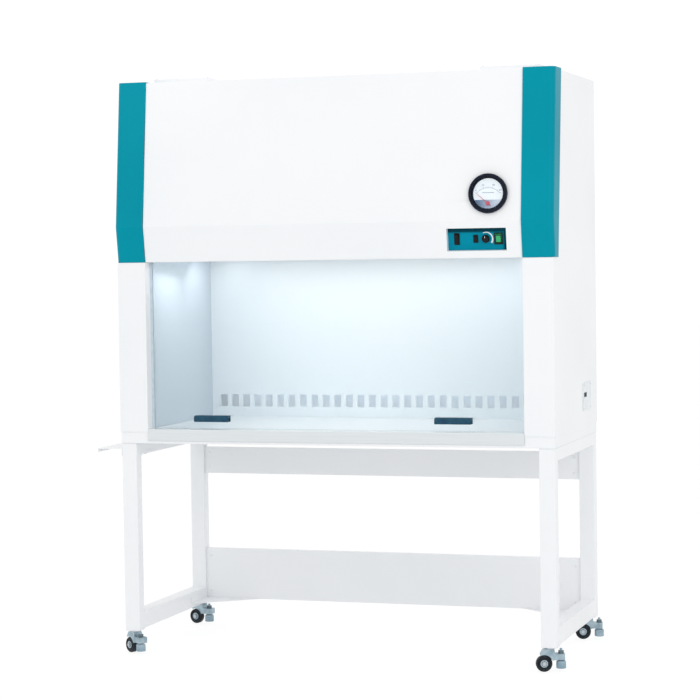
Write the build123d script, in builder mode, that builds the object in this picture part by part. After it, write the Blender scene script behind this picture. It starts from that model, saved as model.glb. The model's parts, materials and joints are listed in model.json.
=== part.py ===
from build123d import *
from math import atan2, cos, degrees, hypot, pi, radians, sin
import os

os.makedirs("parts", exist_ok=True)

# Vertical laminar flow hood on a welded stand, millimetres. +X right, +Y back, +Z up.
# Heights are measured from the floor, depths from the front face of the corner posts.

# Cabinet
cabinet_width = 1420
cabinet_depth = 630
bench_height = 725
hood_top = 1830
hood_height = 573
hood_face = 461
bend_forward = 16
top_setback = 32
post_width = 95
post_depth = 50
sheet = 2.0
steel_sheet = 1.5
fit_gap = 0.5

# Stand
bench_over_stand = 45
leg_width = 50
leg_depth = 40
leg_inset = 2
leg_front = 5
tube_wall = 2.5
top_rail_height = 40
foot_rail_bottom = 78
foot_rail_height = 54
apron_drop = 154
apron_height = 90
apron_flange = 20
back_panel_bottom = 94
back_panel_height = 172
gusset_length = 200
gusset_depth = 150
shelf_reach = 83
shelf_depth = 300
shelf_front = 5
shelf_drop = 18
shelf_flange = 24

# Levelling casters, each with the direction it was left facing, in degrees
caster_height = 74
swivel = {"front_left": -34, "front_right": 18, "back_left": -14, "back_right": 10}
wheel_radius = 25
wheel_width = 20
wheel_offset = 20
wheel_axle_radius = 4
wheel_play = 0.05
fork_gap = 2
fork_cheek = 5
fork_boss = 9
stem_radius = 6
stem_shoulder_radius = 13
stem_shoulder = 4
leg_plate = 5
pad_offset = 32
pad_radius = 15
pad_clear = 10
pad_thickness = 23
pad_rod_radius = 4
lug_gap = 3
lug_width = 22
lug_height = 19
ring_radius = 8.5
ring_height = 9
ring_gap = 0.3
ring_notches = 10

# Base pan, work surface and chamber
base_height = 36
nose_drop = 36
nose_forward = 2
dish_drop = 2
dish_front = 54
dish_rim = 12
rear_duct = 58
slot_count = 29
slot_pitch = 40.9
slot_width = 24
slot_height = 41
slot_lift = 34
ledge_width = 15

# Hood
trim_wall = 3
trim_proud = 3
trim_round = 20
trim_wrap_top = 125
trim_wrap_bottom = 60
panel_inset = 3
top_flange = 18
panel_lip = 24
prefilter_width = 190
prefilter_depth = 300
prefilter_height = 22
prefilter_front = 160
prefilter_centre = 545
prefilter_rim = 12
prefilter_bars = 9
filter_height = 90
filter_wall = 15
filter_front = 104
pleat_count = 40
pleat_height = 60
pleat_web = 8
plenum_height = 92
blower_spacing = 660
blower_room = 365
blower_inset = 222
blower_width = 190
volute_start = 118
volute_end = 166
volute_drop = 178
inlet_radius = 75
impeller_radius = 100
impeller_eye = 80
impeller_width = 150
blade_count = 24
blade_thickness = 1.6
motor_radius = 42
motor_length = 78
motor_plate = 3
motor_socket = 42
shaft_reach = 40
shaft_length = 60
motor_shaft = 6
shaft_play = 0.05

# Lamps
tube_radius = 8
tube_length = 1164
tube_drop = 12
tube_gap = 22
lamp_depth = 77
lamp_channel = 44
lamp_seat = 6
lamp_body = 18
lamp_end_gap = 3

# Sash
glass = 5
sash_depth = 40
sash_overlap = 33
sash_head = 60
guide_width = 8
handle_length = 117
handle_height = 20
handle_reach = 22
handle_spacing = 792
handle_shift = -10
handle_lift = 24

# Control panel and pressure gauge
control_x = 474
control_lift = 56
control_width = 186
control_height = 69
control_recess = 18
gauge_x = 513
gauge_lift = 82
gauge_radius = 60.3
gauge_body_radius = 56.5
gauge_body_depth = 30
gauge_proud = 12
bezel_chamfer = 2
dial_radius = 49
dial_recess = 10
dial_thickness = 1
lens_thickness = 2.5
lens_rim = 1
pointer_length = 46
pointer_hub = 6.5
pointer_tail = 11
pointer_drop = 30
pointer_pin = 1.5
pointer_rest = 50
knob_radius = 12.5
knob_height = 13
knob_lift = 4
knob_shaft = 3
knob_u = 26
rocker_tilt = 8
rocker_pin = 1.3
bezel_rim = 2.2
bezel_wall = 1
bezel_height = 2
bezel_depth = 18

# Mains outlet on the right side
outlet_width = 114
outlet_height = 89
outlet_lift = 84
outlet_from_back = 168
outlet_recess_width = 42
outlet_recess_height = 15
outlet_recess_depth = 14
outlet_recess_shift = -26
outlet_recess_lift = 6
outlet_box_width = 98
outlet_box_height = 60
outlet_box_depth = 26

half = cabinet_width / 2
inner = half - post_width
leg_out = half - leg_inset
leg_in = leg_out - leg_width
leg_x = (leg_in + leg_out) / 2
reach_left = half + shelf_reach
tread = wheel_width / 2
fork_in = tread + fork_gap
fork_out = fork_in + fork_cheek
lug_end = pad_offset + lug_width / 2
right_turns = [radians(abs(swivel[corner])) for corner in ("front_right", "back_right")]
pad_reach = max(pad_offset * cos(turn) + pad_radius for turn in right_turns)
lug_reach = max(lug_end * cos(turn) + fork_out * sin(turn) for turn in right_turns)
reach_right = max(half + trim_proud, leg_x + pad_reach, leg_x + lug_reach)
cabinet_x = (reach_left - reach_right) / 2
stand_top = bench_height - bench_over_stand
apron_bottom = stand_top - apron_drop
shelf_top = stand_top - shelf_drop
slot_bottom = bench_height + slot_lift
handle_bottom = bench_height + handle_lift
outlet_z = bench_height + outlet_lift
hood_bottom = hood_top - hood_height
hood_bend = hood_top - hood_face
control_z = hood_bottom + control_lift
gauge_z = hood_bend + gauge_lift
chamber_back = cabinet_depth - rear_duct
base_top = stand_top + base_height
ceiling = hood_bottom + sheet + 1
tube_height = ceiling + tube_drop
slope = atan2(top_setback + bend_forward, hood_top - hood_bend)
brow = atan2(bend_forward, hood_bend - hood_bottom)


def front_line(z):
    """Depth of the trims' front surface at height z."""
    if z >= hood_bend:
        return (z - hood_bend) * (top_setback + bend_forward) / (hood_top - hood_bend) - bend_forward
    return -bend_forward * (z - hood_bottom) / (hood_bend - hood_bottom)


panel_offset = panel_inset / cos(slope)
gauge_y = front_line(gauge_z) + panel_offset
gauge_front = gauge_y - (gauge_radius - bezel_chamfer) * sin(slope) - gauge_proud * cos(slope)
front_y = -(min(gauge_front, -bend_forward) + cabinet_depth) / 2


def level(z):
    return Plane(origin=(cabinet_x, front_y, z))


def facing(y):
    return Plane(origin=(cabinet_x, front_y + y, 0), x_dir=(1, 0, 0), z_dir=(0, -1, 0))


def across(x):
    return Plane(origin=(cabinet_x + x, front_y, 0), x_dir=(0, 1, 0), z_dir=(1, 0, 0))


def on_hood(x, z, lean):
    """Plane on the front panel's outer surface, its normal facing the user."""
    origin = (cabinet_x + x, front_y + front_line(z) + panel_offset, z)
    return Plane(origin=origin, x_dir=(1, 0, 0), z_dir=(0, -cos(lean), sin(lean)))


def block(x, y, z, mode=Mode.ADD):
    """Box between the low and high value of each axis, in cabinet depths."""
    middle = (cabinet_x + sum(x) / 2, front_y + sum(y) / 2, sum(z) / 2)
    with Locations(middle):
        Box(abs(x[1] - x[0]), abs(y[1] - y[0]), abs(z[1] - z[0]), mode=mode)


def rod(x, y, z, radius, mode=Mode.ADD):
    """Upright cylinder between two heights."""
    with Locations((cabinet_x + x, front_y + y, sum(z) / 2)):
        Cylinder(radius, z[1] - z[0], mode=mode)


def turned(plane, angle):
    """The same plane, turned about its own normal."""
    x_dir = plane.x_dir.rotate(Axis(plane.origin, plane.z_dir), angle)
    return Plane(origin=plane.origin, x_dir=x_dir, z_dir=plane.z_dir)


def mirrored(side, a, b):
    return sorted((side * a, side * b))


def write(part, name):
    part.label = name
    export_step(part, f"parts/{name}.step")


sides = ((-1, "left"), (1, "right"))

# ---- Stand -------------------------------------------------------------------------------
leg_rows = (leg_front, cabinet_depth - leg_front - leg_depth)
rail_bottom = stand_top - top_rail_height
bolt_radius = 4
bolt_rows = (0.2 * cabinet_depth, 0.8 * cabinet_depth)
bolt_clearance = 0.5

for side, name in sides:
    outer_x = mirrored(side, leg_in, leg_out)
    inner_x = mirrored(side, leg_in + tube_wall, leg_out - tube_wall)
    run = (leg_front, cabinet_depth - leg_front)
    inner_run = (run[0] + tube_wall, run[1] - tube_wall)
    foot_z = (foot_rail_bottom, foot_rail_bottom + foot_rail_height)
    with BuildPart() as side_frame:
        for y in leg_rows:
            block(outer_x, (y, y + leg_depth), (caster_height, stand_top))
        block(outer_x, run, (rail_bottom, stand_top))
        block(outer_x, run, foot_z)
        for y in leg_rows:
            hollow = (y + tube_wall, y + leg_depth - tube_wall)
            block(inner_x, hollow, (caster_height + leg_plate, stand_top - tube_wall), Mode.SUBTRACT)
            rod(side * leg_x, y + leg_depth / 2, (caster_height - 1, caster_height + leg_plate + 1),
                stem_radius + 0.1, Mode.SUBTRACT)
        block(inner_x, inner_run, (rail_bottom + tube_wall, stand_top - tube_wall), Mode.SUBTRACT)
        block(inner_x, inner_run, (foot_z[0] + tube_wall + leg_plate, foot_z[1] - tube_wall), Mode.SUBTRACT)
        for y in bolt_rows:
            rod(side * leg_x, y, (rail_bottom - 1, stand_top + 1), bolt_radius + bolt_clearance,
                Mode.SUBTRACT)
    write(side_frame.part, f"side_frame_{name}")

back_leg = cabinet_depth - leg_front - leg_depth
with BuildPart() as rear_apron:
    apron_z = (apron_bottom, apron_bottom + apron_height)
    apron_y = (back_leg + leg_depth / 2 - apron_flange / 2, back_leg + leg_depth / 2 + apron_flange / 2)
    block((-leg_in, leg_in), apron_y, apron_z)
    block((-leg_in + sheet, leg_in - sheet), (apron_y[0] + sheet, apron_y[1] + 1),
          (apron_z[0] + sheet, apron_z[1] - sheet), Mode.SUBTRACT)
write(rear_apron.part, "rear_apron")

panel_z = (back_panel_bottom, back_panel_bottom + back_panel_height)
panel_y = (back_leg + leg_depth / 2 - apron_flange / 2, back_leg + leg_depth / 2 + apron_flange / 2)
with BuildPart() as lower_rear_panel:
    block((-leg_in, leg_in), panel_y, panel_z)
    block((-leg_in + sheet, leg_in - sheet), (panel_y[0] + sheet, panel_y[1] + 1),
          (panel_z[0] + sheet, panel_z[1] - sheet), Mode.SUBTRACT)
write(lower_rear_panel.part, "lower_rear_panel")

with BuildPart() as corner_gussets:
    for side, name in sides:
        with BuildSketch(level(back_panel_bottom)):
            with BuildLine():
                Polyline((side * leg_in, panel_y[0]), (side * (leg_in - gusset_length), panel_y[0]),
                         (side * leg_in, panel_y[0] - gusset_depth), close=True)
            make_face()
        extrude(amount=sheet)
        lip_x = mirrored(side, leg_in - sheet, leg_in)
        block(lip_x, (panel_y[0] - gusset_depth, panel_y[0]), (back_panel_bottom, back_panel_bottom + 20))
write(corner_gussets.part, "corner_gussets")

with BuildPart() as side_shelf:
    shelf_y = (shelf_front, shelf_front + shelf_depth)
    block((-reach_left, -leg_out), shelf_y, (shelf_top - sheet, shelf_top))
    block((-leg_out - sheet, -leg_out), shelf_y, (shelf_top - shelf_flange, shelf_top))
    block((-reach_left, -reach_left + sheet), shelf_y, (shelf_top - 0.5 * shelf_flange, shelf_top))
write(side_shelf.part, "side_shelf")

with BuildPart() as stand_bolts:
    for side, name in sides:
        for y in bolt_rows:
            for z, height in ((rail_bottom - 5.3, 5.3), (stand_top + sheet, 6.5)):
                with BuildSketch(level(z)):
                    with Locations((side * leg_x, y)):
                        RegularPolygon(6.5, 6, major_radius=False)
                extrude(amount=height)
            rod(side * leg_x, y, (rail_bottom - 5.3, stand_top + sheet + 10), bolt_radius)
write(stand_bolts.part, "stand_bolts")

# ---- Levelling casters -------------------------------------------------------------------
corners = {
    "front_left": (-leg_x, leg_rows[0] + leg_depth / 2),
    "front_right": (leg_x, leg_rows[0] + leg_depth / 2),
    "back_left": (-leg_x, leg_rows[1] + leg_depth / 2),
    "back_right": (leg_x, leg_rows[1] + leg_depth / 2),
}
bracket_top = caster_height - stem_shoulder - ring_gap
stem_bottom = 2 * wheel_radius
pad_top = pad_clear + pad_thickness
lug_bottom = pad_top + lug_gap
ring_z = (lug_bottom + lug_height + ring_gap, lug_bottom + lug_height + ring_gap + ring_height)
rod_top = caster_height - stem_shoulder + 1
hub = 0.52 * wheel_radius

with BuildPart() as caster_stems:
    for x, y in corners.values():
        rod(x, y, (caster_height - stem_shoulder, caster_height), stem_shoulder_radius)
        rod(x, y, (stem_bottom, caster_height + leg_plate + 14), stem_radius)
write(caster_stems.part, "caster_stems")


def post(x, z, radius, mode=Mode.ADD):
    """Upright cylinder in a caster's own frame."""
    with Locations((x, 0, sum(z) / 2)):
        Cylinder(radius, z[1] - z[0], mode=mode)


for corner, (x, y) in corners.items():
    heading = (cos(radians(swivel[corner])), sin(radians(swivel[corner])), 0)
    caster = Plane(origin=(cabinet_x + x, front_y + y, 0), x_dir=heading, z_dir=(0, 0, 1))
    side_view = Plane(origin=caster.origin, x_dir=caster.x_dir, z_dir=-caster.y_dir)
    with BuildPart(caster) as bracket:
        with BuildSketch(side_view.offset(-fork_out)):
            with BuildLine():
                Polyline((-wheel_offset - fork_boss - 3, stem_bottom + 2),
                         (-wheel_offset - 4, bracket_top - 3), (-wheel_offset + 4, bracket_top),
                         (stem_radius + 5, bracket_top),
                         (stem_radius + 7, ring_z[0] - ring_gap), (lug_end, ring_z[0] - ring_gap),
                         (lug_end, lug_bottom), (stem_radius + 5, lug_bottom),
                         (-wheel_offset, wheel_radius), close=True)
            make_face()
        extrude(amount=fork_out + fork_in)
        with BuildSketch(side_view.offset(-fork_out)):
            with BuildLine():
                Polyline((-wheel_offset - fork_boss, wheel_radius),
                         (-wheel_offset - fork_boss, stem_bottom + 4), (0, stem_bottom + 4),
                         (-wheel_offset + fork_boss, wheel_radius), close=True)
            make_face()
            with Locations((-wheel_offset, wheel_radius)):
                Circle(fork_boss)
        extrude(amount=fork_cheek)
        with BuildSketch(side_view.offset(-fork_in)):
            with Locations((-wheel_offset, wheel_radius)):
                Circle(wheel_radius + fork_gap)
        extrude(amount=2 * fork_in + 1, mode=Mode.SUBTRACT)
        with BuildSketch(side_view.offset(-fork_out)):
            with Locations((-wheel_offset, wheel_radius)):
                Circle(wheel_axle_radius)
        extrude(amount=fork_out + tread + ring_gap)
        with BuildSketch(side_view.offset(tread + ring_gap)):
            with Locations((-wheel_offset, wheel_radius)):
                Circle(wheel_axle_radius + 2.5)
        extrude(amount=2.5)
        post(0, (stem_bottom - ring_gap, bracket_top + 1), stem_radius + shaft_play, Mode.SUBTRACT)
        post(pad_offset, (lug_bottom - 1, ring_z[1]), pad_rod_radius + shaft_play, Mode.SUBTRACT)
    write(bracket.part, f"caster_bracket_{corner}")

    with BuildPart() as wheel:
        centre = caster.from_local_coords((-wheel_offset, 0, wheel_radius))
        bore = wheel_axle_radius + wheel_play
        groove = tread - 2.5
        with BuildSketch(Plane(origin=centre, x_dir=caster.y_dir, z_dir=caster.x_dir)):
            with BuildLine():
                Polyline((-tread, bore), (tread, bore), (tread, hub), (groove, hub + 2),
                         (groove, 0.7 * wheel_radius), (tread, 0.78 * wheel_radius),
                         (tread, wheel_radius - 3), (tread - 3, wheel_radius),
                         (3 - tread, wheel_radius), (-tread, wheel_radius - 3),
                         (-tread, 0.78 * wheel_radius), (-groove, 0.7 * wheel_radius), (-groove, hub + 2),
                         (-tread, hub), close=True)
            make_face()
        revolve(axis=Axis(centre, caster.y_dir))
    write(wheel.part, f"caster_wheel_{corner}")

    with BuildPart(caster) as pad:
        post(pad_offset, (pad_clear, pad_top), pad_radius)
        chamfer(pad.edges().group_by(Axis.Z)[-1], 3)
        chamfer(pad.edges().group_by(Axis.Z)[0], 1)
        post(pad_offset, (pad_top, rod_top), pad_rod_radius)
    write(pad.part, f"level_pad_{corner}")

    with BuildPart(caster) as ring:
        post(pad_offset, ring_z, ring_radius)
        with Locations((pad_offset, 0, sum(ring_z) / 2)):
            with PolarLocations(ring_radius, ring_notches):
                Cylinder(1.2, ring_height, mode=Mode.SUBTRACT)
        post(pad_offset, ring_z, pad_rod_radius + shaft_play, Mode.SUBTRACT)
    write(ring.part, f"level_adjuster_{corner}")

# ---- Base pan and work surface -----------------------------------------------------------
pan_x = leg_out
pan_y = (nose_forward, cabinet_depth - sheet)
with BuildPart() as base_pan:
    block((-pan_x, pan_x), pan_y, (stand_top, base_top))
    block((-pan_x + sheet, pan_x - sheet), (pan_y[0] + sheet, pan_y[1] - sheet),
          (stand_top - 1, base_top - sheet), Mode.SUBTRACT)
    for side, name in sides:
        block(mirrored(side, leg_in, pan_x), pan_y, (stand_top, stand_top + sheet))
        for y in bolt_rows:
            rod(side * leg_x, y, (stand_top - 1, stand_top + sheet + 1), bolt_radius + bolt_clearance,
                Mode.SUBTRACT)
write(base_pan.part, "base_frame")

surface_x = inner - fit_gap
with BuildPart() as work_surface:
    block((-surface_x, surface_x), (-steel_sheet, chamber_back - fit_gap),
          (bench_height - steel_sheet, bench_height))
    block((-surface_x, surface_x), (-steel_sheet, 0), (bench_height - nose_drop, bench_height))
    nose_edge = work_surface.edges().filter_by(Axis.X).group_by(Axis.Z)[-1].sort_by(Axis.Y)[0]
    fillet(nose_edge, steel_sheet * 0.9)
    for side, name in sides:
        block(mirrored(side, surface_x - steel_sheet, surface_x), (nose_forward, chamber_back - fit_gap),
              (base_top, bench_height - steel_sheet / 2))
    block((-surface_x, surface_x), (chamber_back - fit_gap - steel_sheet, chamber_back - fit_gap),
          (base_top, bench_height - steel_sheet / 2))
    dish_back = chamber_back - dish_rim
    dish_size = (2 * (surface_x - dish_rim), dish_back - dish_front)
    with BuildSketch(level(bench_height)):
        with Locations((0, (dish_front + dish_back) / 2)):
            Rectangle(dish_size[0] + 2 * steel_sheet, dish_size[1] + 2 * steel_sheet)
    extrude(amount=-dish_drop - steel_sheet, taper=45)
    with BuildSketch(level(bench_height)):
        with Locations((0, (dish_front + dish_back) / 2)):
            Rectangle(*dish_size)
    extrude(amount=-dish_drop, taper=45, mode=Mode.SUBTRACT)
write(work_surface.part, "work_surface")

# ---- Cabinet walls -----------------------------------------------------------------------
cover_top = hood_top - panel_inset - sheet
deck_z = ceiling + filter_height + plenum_height
skin_gap = trim_round + fit_gap
strip_top = hood_top - sash_head
for side, name in sides:
    with BuildPart() as side_panel:
        with BuildSketch(across(-half if side < 0 else half - sheet)):
            with BuildLine():
                Polyline((0, base_top), (cabinet_depth - sheet, base_top),
                         (cabinet_depth - sheet, cover_top), (front_line(cover_top) + skin_gap, cover_top),
                         (front_line(hood_bend) + skin_gap, hood_bend), (skin_gap, hood_bottom),
                         (0, hood_bottom), close=True)
            make_face()
        extrude(amount=sheet)
        block(mirrored(side, inner, half), (0, sheet), (base_top, hood_bottom - fit_gap))
        block(mirrored(side, inner, inner + sheet), (0, post_depth), (base_top, hood_bottom - fit_gap))
        block(mirrored(side, inner, inner + sheet), (sash_depth - sheet, post_depth), (base_top, strip_top))
        if side > 0:
            outlet_y = cabinet_depth - outlet_from_back
            cut_y = outlet_box_width / 2 + fit_gap
            cut_z = outlet_box_height / 2 + fit_gap
            block((half - sheet - 1, half + 1), (outlet_y - cut_y, outlet_y + cut_y),
                  (outlet_z - cut_z, outlet_z + cut_z), Mode.SUBTRACT)
    write(side_panel.part, f"side_panel_{name}")

with BuildPart() as side_walls:
    for side, name in sides:
        block(mirrored(side, inner, inner + sheet), (post_depth, chamber_back), (base_top, ceiling))
        block(mirrored(side, inner - ledge_width, inner + sheet), (post_depth, chamber_back),
              (ceiling - sheet, ceiling))
write(side_walls.part, "inner_side_walls")

with BuildPart() as rear_wall:
    block((-half + sheet + fit_gap, half - sheet - fit_gap), (chamber_back, chamber_back + sheet),
          (base_top, deck_z))
    with BuildSketch(facing(chamber_back + sheet + 1)):
        with Locations((0, slot_bottom + slot_height / 2)):
            with GridLocations(slot_pitch, 0, slot_count, 1):
                Rectangle(slot_width, slot_height)
    extrude(amount=sheet + 2, mode=Mode.SUBTRACT)
write(rear_wall.part, "inner_rear_wall")

cover_inside = half - sheet - fit_gap
with BuildPart() as rear_cover:
    block((-half, half), (cabinet_depth - sheet, cabinet_depth), (base_top, cover_top))
    for side, name in sides:
        block(mirrored(side, cover_inside - sheet, cover_inside),
              (cabinet_depth - top_flange, cabinet_depth - sheet),
              (base_top, cover_top - top_flange - fit_gap))
write(rear_cover.part, "rear_cover")

# ---- Hood skin ---------------------------------------------------------------------------


def hood_profile(plane, top, low, high):
    """Closed side view of a sheet that follows the hood's front, between two offsets from the trims."""
    with BuildSketch(plane) as profile:
        with BuildLine():
            Polyline((front_line(hood_bottom) + low, hood_bottom), (front_line(hood_bend) + low, hood_bend),
                     (front_line(top) + low, top), (front_line(top) + high, top),
                     (front_line(hood_bend) + high, hood_bend),
                     (front_line(hood_bottom) + high, hood_bottom), close=True)
        make_face()
    return profile.sketch


panel_top = cover_top + sheet
panel_half = inner - fit_gap
with BuildPart() as front_panel:
    extrude(hood_profile(across(-panel_half), panel_top, panel_offset, panel_offset + sheet),
            amount=2 * panel_half)
    lip_front = front_line(panel_top) + panel_offset
    block((-panel_half, panel_half), (lip_front, lip_front + panel_lip), (panel_top - sheet, panel_top))
    block((-panel_half, panel_half), (panel_offset, sash_depth - 12), (hood_bottom, hood_bottom + sheet))
    with BuildSketch(on_hood(gauge_x, gauge_z, slope).offset(5)):
        Circle(gauge_body_radius + fit_gap)
    extrude(amount=-20, mode=Mode.SUBTRACT)
    with BuildSketch(on_hood(control_x, control_z, -brow).offset(-sheet / 2)):
        Rectangle(control_width + 2 * sheet, control_height + 2 * sheet)
    extrude(amount=sheet / 2 - control_recess)
    with BuildSketch(on_hood(control_x, control_z, -brow).offset(5)):
        Rectangle(control_width, control_height)
    extrude(amount=-control_recess - 6, mode=Mode.SUBTRACT)
write(front_panel.part, "hood_front_panel")

for side, name in sides:
    with BuildPart() as trim:
        outside = half + trim_proud
        with BuildSketch(across(inner if side > 0 else -outside)):
            with BuildLine():
                Polyline((0, hood_bottom), (front_line(hood_bend), hood_bend), (top_setback, hood_top),
                         (trim_wrap_top, hood_top), (trim_wrap_bottom, hood_bottom), close=True)
            make_face()
        extrude(amount=outside - inner)
        front_edges = trim.edges().filter_by(lambda e: abs(e.tangent_at(0.5).Z) > 0.9)
        front_edges = front_edges.filter_by(lambda e: e.center().Y < front_y + top_setback + 1)
        outer_edges = front_edges.sort_by(Axis.X)[-2:] if side > 0 else front_edges.sort_by(Axis.X)[:2]
        fillet(outer_edges, trim_round)
        with BuildSketch(across(inner - 1 if side > 0 else -half)):
            with BuildLine():
                Polyline((trim_wall, hood_bottom - 1), (front_line(hood_bend) + trim_wall, hood_bend),
                         (front_line(hood_top - trim_wall) + trim_wall, hood_top - trim_wall),
                         (trim_wrap_top + 1, hood_top - trim_wall), (trim_wrap_bottom + 1, hood_bottom - 1),
                         close=True)
            make_face()
        hollow = extrude(amount=half - inner + 1, mode=Mode.PRIVATE)
        hollow_edges = hollow.edges().filter_by(lambda e: abs(e.tangent_at(0.5).Z) > 0.9)
        hollow_edges = hollow_edges.filter_by(lambda e: e.center().Y < front_y + top_setback + trim_wall + 1)
        hollow_outer = hollow_edges.sort_by(Axis.X)[-2:] if side > 0 else hollow_edges.sort_by(Axis.X)[:2]
        add(hollow.fillet(trim_round - trim_wall, hollow_outer), mode=Mode.SUBTRACT)
    write(trim.part, f"trim_{name}")

cap_half = cover_inside
cap_front = front_line(cover_top) + panel_offset + sheet + fit_gap
cap_back = cabinet_depth - sheet - fit_gap
filter_y = (prefilter_front, prefilter_front + prefilter_depth)
with BuildPart() as top_cover:
    block((-cap_half, cap_half), (cap_front, cap_back), (cover_top - top_flange, cover_top))
    block((-cap_half + sheet, cap_half - sheet), (cap_front + sheet, cap_back - sheet),
          (cover_top - top_flange - 1, cover_top - sheet), Mode.SUBTRACT)
    for side, name in sides:
        middle = side * prefilter_centre
        reach = prefilter_width / 2 - prefilter_rim
        block((middle - reach, middle + reach), (filter_y[0] + prefilter_rim, filter_y[1] - prefilter_rim),
              (cover_top - sheet - 1, cover_top + 1), Mode.SUBTRACT)
        corner_x = mirrored(side, half - trim_round, half)
        block(corner_x, (cap_front - 1, cap_front + trim_round), (cover_top - top_flange - 1, cover_top + 1),
              Mode.SUBTRACT)
write(top_cover.part, "top_cover")

grille_top = cover_top + prefilter_height
bar_pitch = (prefilter_width - 2 * prefilter_rim) / (prefilter_bars + 1)
with BuildPart() as prefilter_frames:
    for side, name in sides:
        middle = side * prefilter_centre
        reach = prefilter_width / 2
        block((middle - reach, middle + reach), filter_y, (cover_top, grille_top))
        block((middle - reach + sheet, middle + reach - sheet), (filter_y[0] + sheet, filter_y[1] - sheet),
              (cover_top - 1, grille_top - sheet), Mode.SUBTRACT)
        with Locations((cabinet_x + middle, front_y + sum(filter_y) / 2, grille_top)):
            with GridLocations(bar_pitch, 0, prefilter_bars, 1):
                Box(bar_pitch * 0.6, prefilter_depth - 2 * prefilter_rim, 3 * sheet, mode=Mode.SUBTRACT)
write(prefilter_frames.part, "prefilter_frames")

with BuildPart() as prefilter_pads:
    for side, name in sides:
        middle = side * prefilter_centre
        reach = prefilter_width / 2 - sheet - fit_gap
        block((middle - reach, middle + reach),
              (filter_y[0] + sheet + fit_gap, filter_y[1] - sheet - fit_gap),
              (cover_top, grille_top - sheet - 2))
write(prefilter_pads.part, "prefilter_pads")

# ---- Filter, plenum and blowers ----------------------------------------------------------
filter_half = inner - 1
filter_back = chamber_back - 1
filter_top = ceiling + filter_height
with BuildPart() as hepa_frame:
    block((-filter_half, filter_half), (filter_front, filter_back), (ceiling, filter_top))
    block((-filter_half + filter_wall, filter_half - filter_wall),
          (filter_front + filter_wall, filter_back - filter_wall), (ceiling - 1, filter_top + 1),
          Mode.SUBTRACT)
write(hepa_frame.part, "hepa_frame")

media_half = filter_half - filter_wall
pleat_half = media_half / pleat_count
media_bottom = ceiling + (filter_height - pleat_height - pleat_web) / 2
folds = range(2 * pleat_count + 1)
lower = [(-media_half + i * pleat_half, media_bottom + pleat_height * (i % 2)) for i in folds]
upper = [(x, z + pleat_web) for x, z in reversed(lower)]
with BuildPart() as hepa_media:
    with BuildSketch(facing(filter_back - filter_wall)):
        with BuildLine():
            Polyline(*lower, *upper, close=True)
        make_face()
    extrude(amount=filter_back - filter_front - 2 * filter_wall)
write(hepa_media.part, "hepa_media")

plenum_x = filter_half - 2
plenum_y = (filter_front + 2, filter_back - 2)
blower_size = (cover_top - top_flange - deck_z) / blower_room
spiral_start = volute_start * blower_size
spiral_end = volute_end * blower_size
inlet = inlet_radius * blower_size
wheel_rim = impeller_radius * blower_size
motor_girth = motor_radius * blower_size
blower_depth = chamber_back - blower_inset
outlet_front = blower_depth + spiral_start / 2
outlet_back = blower_depth + spiral_end
blower_z = deck_z + volute_drop * blower_size
with BuildPart() as plenum_box:
    block((-plenum_x, plenum_x), plenum_y, (filter_top, deck_z))
    block((-plenum_x + sheet, plenum_x - sheet), (plenum_y[0] + sheet, plenum_y[1] - sheet),
          (filter_top - 1, deck_z - sheet), Mode.SUBTRACT)
    for side, name in sides:
        middle = side * blower_spacing / 2
        block((middle - blower_width / 2 + sheet, middle + blower_width / 2 - sheet),
              (outlet_front + sheet, outlet_back - sheet), (deck_z - sheet - 1, deck_z + 1), Mode.SUBTRACT)
write(plenum_box.part, "plenum_box")


def volute(x, shrink, drop):
    """Spiral side view of a blower housing, its outlet pointing down at the back."""
    turn = [-pi / 3 - k * pi / 6 for k in range(11)]
    growth = (spiral_end - spiral_start) / (turn[0] - turn[-1])
    spiral = [(spiral_start + growth * (turn[0] - a) - shrink, a) for a in turn]
    points = [(blower_depth + r * cos(a), blower_z + r * sin(a)) for r, a in spiral]
    outer = blower_depth + spiral_end - shrink
    tongue = outlet_front + shrink
    foot = deck_z - drop
    with BuildSketch(across(x)) as profile:
        with BuildLine():
            Spline(*points, tangents=[(-cos(pi / 6), -0.5), (0, -1)])
            Polyline(points[-1], (outer, foot), (tongue, foot), points[0])
        make_face()
    return profile.sketch


with BuildPart() as blower_housings:
    for side, name in sides:
        middle = side * blower_spacing / 2
        low = middle - blower_width / 2
        extrude(volute(low, 0, 0), amount=blower_width)
        extrude(volute(low + sheet, sheet, 1), amount=blower_width - 2 * sheet, mode=Mode.SUBTRACT)
        with BuildSketch(across(low - 1)):
            with Locations((blower_depth, blower_z)):
                Circle(inlet)
        extrude(amount=blower_width + 2, mode=Mode.SUBTRACT)
write(blower_housings.part, "blower_housings")

with BuildPart() as blower_motors:
    for side, name in sides:
        face = side * blower_spacing / 2 - blower_width / 2
        motor_end = face + motor_length
        with BuildSketch(across(face - motor_plate)):
            with Locations((blower_depth, blower_z)):
                Circle(1.16 * inlet)
                Circle(0.95 * inlet, mode=Mode.SUBTRACT)
                with PolarLocations(inlet / 2, 3):
                    Rectangle(inlet, 0.19 * inlet)
        extrude(amount=motor_plate)
        with BuildSketch(across(face - motor_plate)):
            with Locations((blower_depth, blower_z)):
                Circle(motor_girth)
        extrude(amount=motor_length + motor_plate)
        with BuildSketch(across(motor_end + 1)):
            with Locations((blower_depth, blower_z)):
                Circle(motor_shaft + shaft_play)
        extrude(amount=-motor_socket, mode=Mode.SUBTRACT)
write(blower_motors.part, "blower_motors")

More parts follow.
